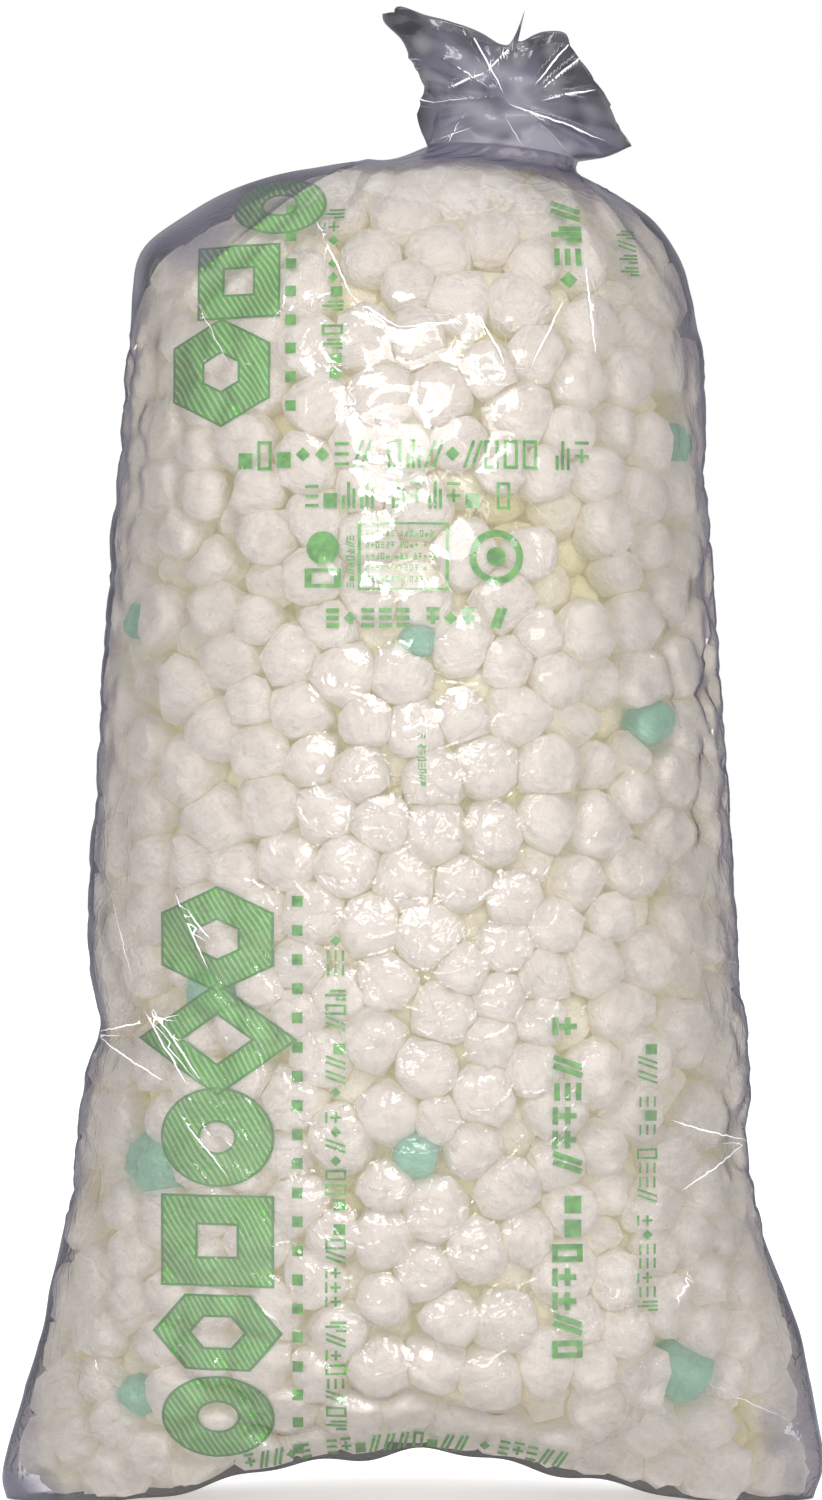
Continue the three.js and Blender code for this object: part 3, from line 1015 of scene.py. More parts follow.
@dataclass(frozen=True)
class InkFinish:
    """Green ink on the film, a little worn, and hatched by pen where a mark is wide."""

    name: str
    line: tuple[float, float, float, float] = (0.020, 0.26, 0.006, 1)
    wash: tuple[float, float, float, float] = (0.085, 0.52, 0.018, 1)
    gap: tuple[float, float, float, float] = (0.60, 0.88, 0.45, 1)
    hatched: bool = False
    pitch: float = 0.0034
    rim_width: float = 0.0012

    def build(self) -> bpy.types.Material:
        """Makes the material."""
        maker, material = TreeMaker.material(self.name)
        place = maker.add("ShaderNodeTexCoord").outputs["Object"]
        worn = maker.add("ShaderNodeTexNoise", {"Vector": place, "Scale": 240.0, "Detail": 3.0}).outputs[0]
        cover = maker.ramp(worn, 0.3, 0.7, 0.84, 0.96)
        colour = maker.blend(maker.ramp(worn, 0.35, 0.65, 0.0, 1.0), self.wash, self.line)
        if self.hatched:
            wave = self.hatch(maker, place)
            rim = maker.math("LESS_THAN", maker.attribute("rim").outputs["Fac"], self.rim_width)
            stroke = maker.ramp(wave, -0.88, -0.66, 0.0, 1.0)
            colour = maker.blend(stroke, self.gap, self.wash)
            dark = maker.math("MAXIMUM", maker.ramp(wave, 0.35, 0.75, 0.0, 0.8), rim)
            colour = maker.blend(dark, colour, self.line)
            cover = maker.ramp(maker.math("MAXIMUM", stroke, rim), 0.0, 1.0, 0.30, 0.92)
        ink = maker.add(
            "ShaderNodeBsdfPrincipled", {"Base Color": colour, "Roughness": 0.4, "Alpha": cover}
        )
        maker.link(ink.outputs[0], maker.end.inputs[0])
        return material

    def hatch(self, maker: TreeMaker, place: bpy.types.NodeSocket) -> bpy.types.NodeSocket:
        """Slanting pen strokes with uneven gaps, as a wave from -1 between them to 1 on them."""
        parts = maker.add("ShaderNodeSeparateXYZ", {0: place}).outputs
        slant = maker.math("MULTIPLY_ADD", parts[2], 0.62, parts[0])
        wobble = maker.add("ShaderNodeTexNoise", {"Vector": place, "Scale": 34.0, "Detail": 1.0}).outputs[0]
        moved = maker.math("MULTIPLY_ADD", wobble, 0.006, slant)
        return maker.math("SINE", maker.math("MULTIPLY", moved, 2 * math.pi / self.pitch))


# ---------------------------------------------------------------- the film


@dataclass
class FilmBag:
    """The film: weld, walls, shoulders, gathered neck and the flared loose end, as one surface."""

    skin: Skin
    heap: NuggetHeap
    ring_step: float = 0.0030
    deepest: float = 0.014
    stretch_steps: int = 14
    sag: float = 0.00018
    base_shares: tuple[float, ...] = (0.0, 0.2, 0.4, 0.6, 0.8, 0.93)
    flare_rings: int = 60
    lining_rings: int = 34
    clearance: float = 0.0011
    small_creases: int = 300
    seed: int = 21
    creases: tuple[Crease, ...] = (
        Crease((-0.022, 0.716), (-0.133, 0.634), 0.0045, 0.0040),
        Crease((-0.030, 0.706), (-0.140, 0.600), 0.0026, 0.0050),
        Crease((-0.010, 0.712), (-0.095, 0.600), 0.0022, 0.0035),
        Crease((0.000, 0.716), (-0.060, 0.560), 0.0014, 0.0040),
        Crease((0.088, 0.712), (0.138, 0.640), 0.0026, 0.0040),
        Crease((0.080, 0.708), (0.112, 0.610), 0.0018, 0.0040),
        Crease((0.040, 0.712), (0.035, 0.630), 0.0012, 0.0040),
        Crease((-0.124, 0.326), (-0.105, 0.284), 0.0024, 0.0030),
        Crease((-0.118, 0.318), (-0.104, 0.300), 0.0020, 0.0030),
        Crease((-0.141, 0.264), (-0.116, 0.224), 0.0028, 0.0030),
        Crease((-0.137, 0.266), (-0.108, 0.226), 0.0024, 0.0030),
        Crease((-0.121, 0.210), (-0.094, 0.176), 0.0020, 0.0030),
        Crease((0.137, 0.112), (0.149, 0.122), 0.0026, 0.0030),
        Crease((0.139, 0.108), (0.146, 0.128), 0.0020, 0.0030),
        Crease((-0.160, 0.330), (-0.145, 0.272), 0.0016, 0.0040),
        Crease((-0.170, 0.250), (-0.120, 0.262), 0.0022, 0.0035),
        Crease((-0.170, 0.250), (-0.128, 0.226), 0.0022, 0.0035),
        Crease((0.181, 0.192), (0.135, 0.206), 0.0022, 0.0035),
        Crease((0.181, 0.192), (0.140, 0.168), 0.0020, 0.0035),
        Crease((0.100, 0.266), (0.104, 0.160), 0.0014, 0.0040),
        Crease((-0.206, 0.060), (-0.150, 0.110), 0.0020, 0.0040),
        Crease((-0.210, 0.030), (-0.140, 0.046), 0.0018, 0.0040),
        Crease((-0.050, 0.677), (-0.030, 0.632), 0.0030, 0.0040),
        Crease((-0.032, 0.634), (-0.006, 0.617), 0.0030, 0.0040),
        Crease((-0.008, 0.617), (0.032, 0.621), 0.0030, 0.0045),
        Crease((0.034, 0.626), (0.050, 0.596), 0.0028, 0.0040),
        Crease((0.048, 0.596), (0.063, 0.596), 0.0014, 0.0040),
        Crease((0.062, 0.597), (0.080, 0.634), 0.0028, 0.0040),
        Crease((-0.115, 0.640), (-0.092, 0.594), 0.0016, 0.0040),
        Crease((0.091, 0.654), (0.096, 0.604), 0.0028, 0.0045),
        Crease((0.210, 0.040), (0.150, 0.070), 0.0020, 0.0040),
        Crease((0.190, 0.110), (0.160, 0.040), 0.0016, 0.0040),
    )
    mouth: tuple[tuple[float, float, float], ...] = (
        (0.118, -0.004, 0.727),
        (0.110, -0.012, 0.738),
        (0.101, -0.016, 0.755),
        (0.092, -0.017, 0.768),
        (0.083, -0.017, 0.780),
        (0.071, -0.016, 0.780),
        (0.059, -0.016, 0.776),
        (0.046, -0.016, 0.779),
        (0.030, -0.015, 0.785),
        (0.012, -0.013, 0.791),
        (-0.003, -0.009, 0.798),
        (-0.0115, -0.002, 0.799),
        (-0.006, 0.004, 0.804),
        (0.008, 0.008, 0.800),
        (0.020, 0.010, 0.797),
        (0.037, 0.012, 0.791),
        (0.051, 0.013, 0.785),
        (0.0560, 0.012, 0.788),
        (0.0620, 0.008, 0.803),
        (0.0580, 0.012, 0.787),
        (0.071, 0.012, 0.791),
        (0.083, 0.010, 0.791),
        (0.087, 0.009, 0.781),
        (0.094, 0.008, 0.772),
        (0.099, 0.007, 0.763),
        (0.103, 0.006, 0.752),
        (0.108, 0.003, 0.740),
    )
    left_corner: int = 11
    small_fan_creases: int = 22
    glint_width: float = 0.00062
    fan_middle: tuple[float, float] = (0.052, 0.748)
    fan_creases: tuple[Crease, ...] = (
        Crease((0.022, 0.757), (0.041, 0.764), 0.0022, 0.0016),
        Crease((0.041, 0.764), (0.056, 0.781), 0.0022, 0.0016),
        Crease((0.052, 0.748), (0.104, 0.729), 0.0034, 0.0016),
        Crease((0.068, 0.753), (0.094, 0.776), 0.0030, 0.0014),
        Crease((0.070, 0.749), (0.098, 0.755), 0.0026, 0.0014),
        Crease((0.066, 0.757), (0.086, 0.782), 0.0022, 0.0014),
        Crease((0.045, 0.748), (0.010, 0.764), 0.0010, 0.0020),
        Crease((0.040, 0.755), (-0.004, 0.796), 0.0008, 0.0024),
        Crease((0.035, 0.735), (0.012, 0.728), 0.0016, 0.0018),
        Crease((0.050, 0.742), (0.060, 0.722), 0.0016, 0.0016),
        Crease((0.030, 0.745), (0.018, 0.722), 0.0016, 0.0018),
        Crease((0.002, 0.777), (0.012, 0.772), 0.0014, 0.0010),
        Crease((0.000, 0.773), (0.012, 0.768), 0.0014, 0.0010),
    )

    def body_grid(self) -> tuple[Array, int]:
        """The film up to the gather, as rings, and how many of them close the base."""
        around = self.skin.around
        places = self.skin.places(0, self.skin.last, self.ring_step)
        grid = self.skin.rings(places, around)
        base = []
        for share in self.base_shares:
            ring = grid[0].copy()
            ring[:, 1] *= share
            base.append(ring)
        self.places = np.concatenate([np.zeros(len(base)), places])
        return np.concatenate([np.stack(base), grid]), len(base)

    @staticmethod
    def outward(grid: Array) -> Array:
        """The way out of the film at each point of a grid of rings."""
        round_it = np.roll(grid, -1, axis=1) - np.roll(grid, 1, axis=1)
        up_it = np.gradient(grid, axis=0)
        return unit(np.cross(up_it, round_it))

    def wrinkles(self, grid: Array) -> Array:
        """How far the film stands in or out of its smooth skin, before it meets the nuggets."""
        flat = grid.reshape(-1, 3)
        swell = SoftNoise(self.seed, 0.16).at(flat) * 0.0026
        ripple = SoftNoise(self.seed + 1, 0.050).at(flat * (1, 1, 0.45)) * 0.0009
        height = swell + ripple
        for crease in self.body_creases():
            height += self.crease_height(flat, crease)
        return height.reshape(grid.shape[:2])

    def body_creases(self) -> list[Crease]:
        """The listed creases and the many small ones, which are thickest low down in the middle."""
        random = np.random.default_rng(self.seed + 2)
        creases = list(self.creases)
        for number in range(self.small_creases):
            busy = number % 2 == 0
            x = random.uniform(-0.08, 0.11) if busy else random.uniform(-0.19, 0.19)
            z = random.uniform(0.08, 0.38) if busy else random.uniform(0.02, 0.69)
            way = random.uniform(0, math.pi) if busy else random.normal(math.pi / 2, 0.7)
            reach = random.uniform(0.008, 0.022) if busy else random.uniform(0.012, 0.045)
            end = (x + math.cos(way) * reach, z + math.sin(way) * reach)
            tall = random.uniform(0.0005, 0.0014) * random.choice([-1, 1])
            creases.append(Crease((x, z), end, tall, 0.0022, busy or bool(random.integers(2))))
        return creases

    def crinkled(self, points: Array) -> Array:
        """How strongly the film is crinkled: most low down, and little where it is stretched smooth."""
        patches = SoftNoise(self.seed + 4, 0.09).at(points.reshape(-1, 3)).reshape(points.shape[:2])
        low = 1 - smooth_step(points[..., 2], 0.36, 0.46)
        return np.clip(0.22 + low * 0.50 + patches * 0.22, 0.10, 1.0)

    @staticmethod
    def crease_height(points: Array, crease: Crease) -> Array:
        """The ridge that one crease makes."""
        start, end = np.array(crease.start), np.array(crease.end)
        along = end - start
        length = np.linalg.norm(along)
        offset = points[:, (0, 2)] - start
        share = np.clip(offset @ along / length**2, 0, 1)
        away = np.linalg.norm(offset - share[:, None] * along, axis=1)
        taper = np.sin(np.clip(share, 0.04, 0.96) * math.pi) ** 0.6
        side = points[:, 1] < 0 if crease.at_front else points[:, 1] > 0
        return crease.height * np.exp(-away / crease.width) * taper * side

    def pleats(self, count: int, seed: int) -> Array:
        """A zigzag round the bag, with pleats of uneven width and height, from -1 to 1."""
        random = np.random.default_rng(seed)
        widths = random.uniform(0.45, 1.5, count)
        edges = np.concatenate([[0], np.cumsum(widths)]) / widths.sum()
        tall = random.uniform(0.45, 1.0, count)
        place = np.arange(self.skin.around) / self.skin.around
        which = np.clip(np.searchsorted(edges, place, side="right") - 1, 0, count - 1)
        share = (place - edges[which]) / (edges[which + 1] - edges[which])
        return (1 - np.abs(2 * share - 1)) * 2 * tall[which] - tall[which]

    def nugget_gap(self, grid: Array, ways: Array, tree: BVHTree) -> Array:
        """How far below the smooth skin the nuggets lie, up to the deepest gap that is looked into.

        Args:
            grid: the smooth skin, as rings.
            ways: the way out at each point.
            tree: the nuggets.

        Returns:
            The gap at each point of the grid.
        """
        start = 0.010
        gap = np.full(grid.shape[:2], self.deepest)
        for ring in range(len(grid)):
            for i in range(grid.shape[1]):
                origin = grid[ring, i] + ways[ring, i] * start
                hit = tree.ray_cast(Vector(origin), Vector(-ways[ring, i]), start + self.deepest)
                if hit[0] is not None:
                    gap[ring, i] = hit[3] - start
        return gap

    def stretched(self, height: Array, floor: Array) -> Array:
        """A sheet let down over cobbles: it sags, evens out and stays off them, again and again.

        Args:
            height: where the sheet starts.
            floor: the lowest that it may lie.

        Returns:
            Where it comes to rest.
        """
        for _ in range(self.stretch_steps):
            height = np.maximum(blurred(height, 3) - self.sag, floor)
        return height

    def slackness(self, grid: Array) -> Array:
        """1 where the film hangs loose, at the shoulders, the ears and the hem, and less elsewhere."""
        x, z = grid[..., 0], grid[..., 2]
        shoulder = smooth_step(z, 0.60, 0.69)
        ears = smooth_step(np.abs(x), 0.165, 0.205)
        hem = 1 - smooth_step(z, 0.0, 0.035)
        return np.clip(0.3 + shoulder + ears + hem * 0.6, 0, 1)

    def fan_folds(self, seed: int, listed: tuple[Crease, ...] = ()) -> list[Crease]:
        """The listed creases and small ones that fan out from the middle of the loose end."""
        random = np.random.default_rng(seed)
        creases = list(listed)
        x, z = self.fan_middle
        for _ in range(self.small_fan_creases):
            way, bend = random.uniform(0, 2 * math.pi), random.normal(0, 0.2)
            near, far = random.uniform(0.004, 0.030), random.uniform(0.034, 0.062)
            start = (x + math.cos(way + bend) * near, z + math.sin(way + bend) * near)
            end = (x + math.cos(way) * far, z + math.sin(way) * far)
            creases.append(Crease(start, end, random.uniform(-0.0014, 0.0022), 0.0012))
        return creases

    def fan_height(self, points: Array, reach: Array, seed: int, creases: list[Crease]) -> Array:
        """How far the loose end stands out, in folds that fan out from its middle.

        Args:
            points: the places on it.
            reach: how far up the loose end each lies, from 0 to 1.
            seed: what the folds are drawn from.
            creases: the creases in this layer.

        Returns:
            The height at each place.
        """
        offset = points[:, (0, 2)] - self.fan_middle
        angle = np.arctan2(offset[:, 1], offset[:, 0]) / (2 * math.pi) % 1
        away = np.linalg.norm(offset, axis=1)
        random = np.random.default_rng(seed)
        edges = np.sort(random.uniform(0, 1, 17))
        edges = np.concatenate([[edges[-1] - 1], edges, [edges[0] + 1]])
        tall = random.uniform(0.3, 1.0, len(edges))
        which = np.clip(np.searchsorted(edges, angle, side="right") - 1, 0, len(edges) - 2)
        share = (angle - edges[which]) / (edges[which + 1] - edges[which])
        fold = (0.5 - np.abs(share - 0.5)) * 2 * tall[which] * (edges[which + 1] - edges[which]) * 16
        height = fold * 0.0030 * smooth_step(away, 0.004, 0.045)
        height += SoftNoise(seed, 0.022).at(points) * 0.0016
        for crease in creases:
            height += self.crease_height(points * (1, 0, 1) - (0, 1, 0), crease)
        return height * np.minimum(reach * 4, 1)

    def crease_glint_lines(self, points: Array, creases: list[Crease], reach: float) -> Array:
        """Where the fine whitened line of the nearest sharp crease runs: partly stress-whitened film, partly
        a painted glint.

        Args:
            points: the places on the film.
            creases: the creases to look among.
            reach: how far from its line a crease still counts.

        Returns:
            For each place, how far to one side of the line it lies, and half the line's width there.
        """
        nearest = np.full(len(points), reach)
        offset, width = np.full(len(points), reach), np.zeros(len(points))
        for crease in creases:
            start = np.array(crease.start)
            along = np.array(crease.end) - start
            length = np.linalg.norm(along)
            apart = points[:, (0, 2)] - start
            share = apart @ along / length**2
            aside = (apart[:, 0] * along[1] - apart[:, 1] * along[0]) / length
            on_side = points[:, 1] < 0 if crease.at_front else points[:, 1] > 0
            here = (share > 0) & (share < 1) & on_side & (np.abs(aside) < nearest)
            nearest[here], offset[here] = np.abs(aside[here]), aside[here]
            taper = np.sin(np.clip(share[here], 0, 1) * math.pi) ** 0.5
            sharp = smooth_step(abs(crease.height), 0.0008, 0.0024) * (1 - smooth_step(length, 0.055, 0.080))
            width[here] = taper * self.glint_width * sharp
        return np.stack([offset, width], axis=1)

    def flare_grid(self, waist: Array) -> tuple[Array, Array]:
        """The loose end above the waist, and its crease lines of painted glints: a flat crumpled tube, and
        its inside.
        """
        around = self.skin.around
        loop = np.array(self.mouth) * (*self.skin.scale[:2], 1)
        front = through(loop, np.linspace(0, self.left_corner, 300))
        back_loop = np.concatenate([loop[self.left_corner :], loop[:1]])
        back = through(back_loop, np.linspace(0, len(back_loop) - 1, 600))
        mouth = np.concatenate([evenly(front, around // 2 + 1)[:-1], evenly(back, around // 2 + 1)[:-1]])
        turn = np.arange(around) / around * 2 * math.pi
        front_side = np.arange(around) < around // 2
        left_share = smooth_step(-np.cos(turn), 0.2, 1.0)
        outward = np.stack([np.cos(turn) * 0.35, -np.sin(turn), np.zeros(around)], axis=1)
        outward = unit(outward)
        outer, lines = [], []
        front_folds = self.fan_folds(self.seed + 5, self.fan_creases)
        back_folds = self.fan_folds(self.seed + 6)
        lining_folds = self.fan_folds(self.seed + 9)
        for share in np.linspace(0, 1, self.flare_rings + 1)[1:]:
            ring = waist + (mouth - waist) * share
            ring[:, 0] += left_share * math.sin(math.pi * share) * 0.012
            dimple = math.exp(-(((share - 0.32) / 0.20) ** 2))
            ring[:, 1] *= 1 - 0.45 * dimple
            reach = np.full(around, share)
            height = np.where(
                front_side,
                self.fan_height(ring, reach, self.seed + 5, front_folds),
                self.fan_height(ring, reach, self.seed + 6, back_folds),
            )
            outer.append(ring + outward * height[:, None])
            flat = ring * (1, 0, 1) - (0, 1, 0)
            in_front = self.crease_glint_lines(flat, front_folds, 0.003)
            behind = self.crease_glint_lines(flat, back_folds, 0.003)
            lines.append(np.where(front_side[:, None], in_front, behind))
        inner = []
        knot = np.array([*self.fan_middle, 0.0])[[0, 2, 1]]
        for share in np.linspace(0, 1, self.lining_rings + 1)[1:]:
            source = outer[int(round((1 - share * 0.7) * (len(outer) - 1)))]
            ring = source * (1, 0.55, 1)
            ring = ring + (knot - ring) * min(share**1.6, 0.985)
            reach = np.full(around, 1 - share)
            height = self.fan_height(ring, reach, self.seed + 9, lining_folds) * 0.7
            inner.append(ring + outward * height[:, None] - outward * 0.0012 * (1 - share))
            lines.append(self.crease_glint_lines(ring * (1, 0, 1) - (0, 1, 0), lining_folds, 0.003))
        return np.stack(outer + inner), np.stack(lines)

    def flare_shade(self, flare: Array) -> Array:
        """How much painted shade the loose end gets: most to the right, along its left edge and at its rim,
        in soft patches.
        """
        rim = np.linspace(0, 1, self.flare_rings)[:, None] ** 4
        rim = np.concatenate([rim, np.ones((self.lining_rings, 1))])
        right = smooth_step(flare[..., 0], 0.058, 0.084) * smooth_step(flare[..., 2], 0.735, 0.762)
        patches = SoftNoise(self.seed + 8, 0.02).at(flare.reshape(-1, 3)).reshape(flare.shape[:2])
        left = 1 - smooth_step(flare[..., 0], -0.004, 0.016)
        return np.clip(0.45 + right * 0.6 + left * 0.45 + rim * 0.3 + patches * 0.12, 0, 1)

    def flare_milk(self, flare: Array) -> Array:
        """1 where the loose end's film is milky, in soft patches low in its middle."""
        patches = SoftNoise(self.seed + 7, 0.016).at(flare.reshape(-1, 3)).reshape(flare.shape[:2])
        middle = smooth_step(flare[..., 0], 0.008, 0.030) * (1 - smooth_step(flare[..., 0], 0.070, 0.095))
        low = 1 - smooth_step(flare[..., 2], 0.755, 0.785)
        return np.clip(middle * low * 0.8 + patches * 0.5, 0, 1)

    def drawn_in(self, grid: Array, gap: Array, lift: Array) -> Array:
        """How far the film stands off its smooth skin: slack in places, and against the nuggets in others."""
        slack = self.slackness(grid)
        floor = self.clearance - gap
        beside = np.maximum(np.roll(floor, 1, axis=1), np.roll(floor, -1, axis=1))
        beside[1:-1] = np.maximum(beside[1:-1], np.maximum(floor[:-2], floor[2:]))
        floor = np.maximum(floor, beside - 0.0006)
        bare = np.maximum(-0.0012 - (1 - slack) * 0.001, floor)
        resting = self.stretched(bare, floor)
        resting = resting * (1 - slack * 0.7)
        return np.maximum(resting + lift * (0.55 + 0.45 * slack), floor)

    def build(self, material: bpy.types.Material, nuggets: list[bpy.types.Object]) -> bpy.types.Object:
        """Makes the whole film.

        Args:
            material: the film's finish.
            nuggets: the pieces that the film lies on.

        Returns:
            The film, and keeps a tree of it for the print.
        """
        grid, base_rings = self.body_grid()
        ways = self.outward(grid)
        ways[:base_rings] = (0, 0, -1)
        lift = self.wrinkles(grid)
        lift[: base_rings + 1] *= 0
        gap = self.nugget_gap(grid, ways, joined_tree(nuggets))
        lift = self.drawn_in(grid, gap, lift)
        rise = smooth_step(np.arange(len(grid)), base_rings, base_rings + 8)
        lift = lift * rise[:, None]
        pleat = self.pleats(27, self.seed + 3)
        grip = smooth_step(self.places, 21.0, 24.5) * (1 - smooth_step(self.places, 24.5, 25))
        lift = lift * (1 - smooth_step(self.places, 24.0, 25.0))[:, None]
        lift += grip[:, None] * pleat[None, :] * 0.0005
        body = grid + ways * lift[..., None]
        body[..., 2] = np.maximum(body[..., 2], 0)
        flare, flare_glint_lines = self.flare_grid(body[-1])
        whole = np.concatenate([body, flare])
        around = self.skin.around
        film = new_mesh("film_bag_skin", whole.reshape(-1, 3), ring_faces(len(whole), around))
        # Where the film hangs clear of the nuggets, at the shoulders and sides, it gets more veil and painted
        # shade.
        empty = smooth_step(blurred(smooth_step(gap, 0.006, 0.013), 14), 0.40, 0.90)
        side = np.abs(body[..., 0])
        shoulders = smooth_step(body[..., 2], 0.60, 0.66) * smooth_step(side, 0.060, 0.120)
        empty = empty * np.clip(shoulders + smooth_step(side, 0.175, 0.205), 0, 1)
        neck = smooth_step(body[..., 2], 0.703, 0.721)
        body_folds = np.clip(empty * 0.55 + neck * 0.75 + self.edge_folds(body), 0, 0.88)
        climb = np.linspace(1, 0, self.flare_rings)[:, None]
        climb = np.concatenate([climb, np.zeros((self.lining_rings, 1))])
        folds = np.concatenate([body_folds, 0.88 + climb * 0.10 + np.zeros((len(flare), around))])
        write_floats(film.data, "folds", folds.ravel())
        # Painted glints: the fine whitened lines of the sharp creases, partly stress-whitened film.
        body_glint_lines = self.crease_glint_lines(body.reshape(-1, 3), self.body_creases(), 0.006)
        lines = np.concatenate([body_glint_lines, flare_glint_lines.reshape(-1, 2)])
        write_floats(film.data, "glint_line_offset", lines[:, 0])
        write_floats(film.data, "glint_line_width", lines[:, 1])
        write_floats(film.data, "milky", np.concatenate([body_folds * 0, self.flare_milk(flare)]).ravel())
        write_floats(film.data, "crinkled", self.crinkled(whole).ravel())
        # Painted shade on the body: where the film hangs clear of the nuggets, and a little at the neck.
        body_shade = empty * 0.35 + neck * 0.15
        write_floats(film.data, "shade", np.concatenate([body_shade, self.flare_shade(flare)]).ravel())
        film.data.materials.append(material)
        self.weld(film)
        self.tree = BVHTree.FromPolygons(
            [tuple(p) for p in body.reshape(-1, 3)], ring_faces(len(body), around)
        )
        LOG.info("film: %d faces", len(film.data.polygons))
        return film

    def edge_folds(self, body: Array) -> Array:
        """More where the film lies doubled: in the ears, and a little at the shoulders."""
        x, z = body[..., 0], body[..., 2]
        ears = smooth_step(np.abs(x), 0.185, 0.215) * (1 - smooth_step(z, 0.05, 0.10))
        corner = smooth_step(z, 0.64, 0.70)
        return ears * 0.35 + corner * 0.06

    @staticmethod
    def weld(film: bpy.types.Object) -> None:
        """Joins the front and back of the film along the bottom."""
        work = bmesh.new()
        work.from_mesh(film.data)
        work.verts.ensure_lookup_table()
        lowest = [v for v in work.verts if abs(v.co.y) < 1e-6 and v.co.z < 0.03]
        bmesh.ops.remove_doubles(work, verts=lowest, dist=1e-5)
        work.to_mesh(film.data)
        work.free()


def joined_tree(pieces: list[bpy.types.Object]) -> BVHTree:
    """One tree for the meshes of several pieces."""
    points, faces = [], []
    for piece in pieces:
        first = len(points)
        points.extend(tuple(p) for p in points_of(piece.data))
        faces.extend(tuple(first + i for i in polygon.vertices) for polygon in piece.data.polygons)
    return BVHTree.FromPolygons(points, faces)


# ---------------------------------------------------------------- the print


class Outline(Enum):
    """The plain outlines that a wide mark can have, by their number of sides."""

    SQUARE = 4
    HEXAGON = 6
    DISC = 0


@dataclass(frozen=True)
class WideMark:
    """A plain figure with a hole of its own shape, seen from the front."""

    x: float
    z: float
    width: float
    height: float
    outline: Outline
    hole: float = 0.0
    turn: float = 0.0


@dataclass(frozen=True)
class StrokeBand:
    """A straight row of plain signs made of bars, which reads as nothing."""

    start: tuple[float, float]
    end: tuple[float, float]
    height: float
    weight: float


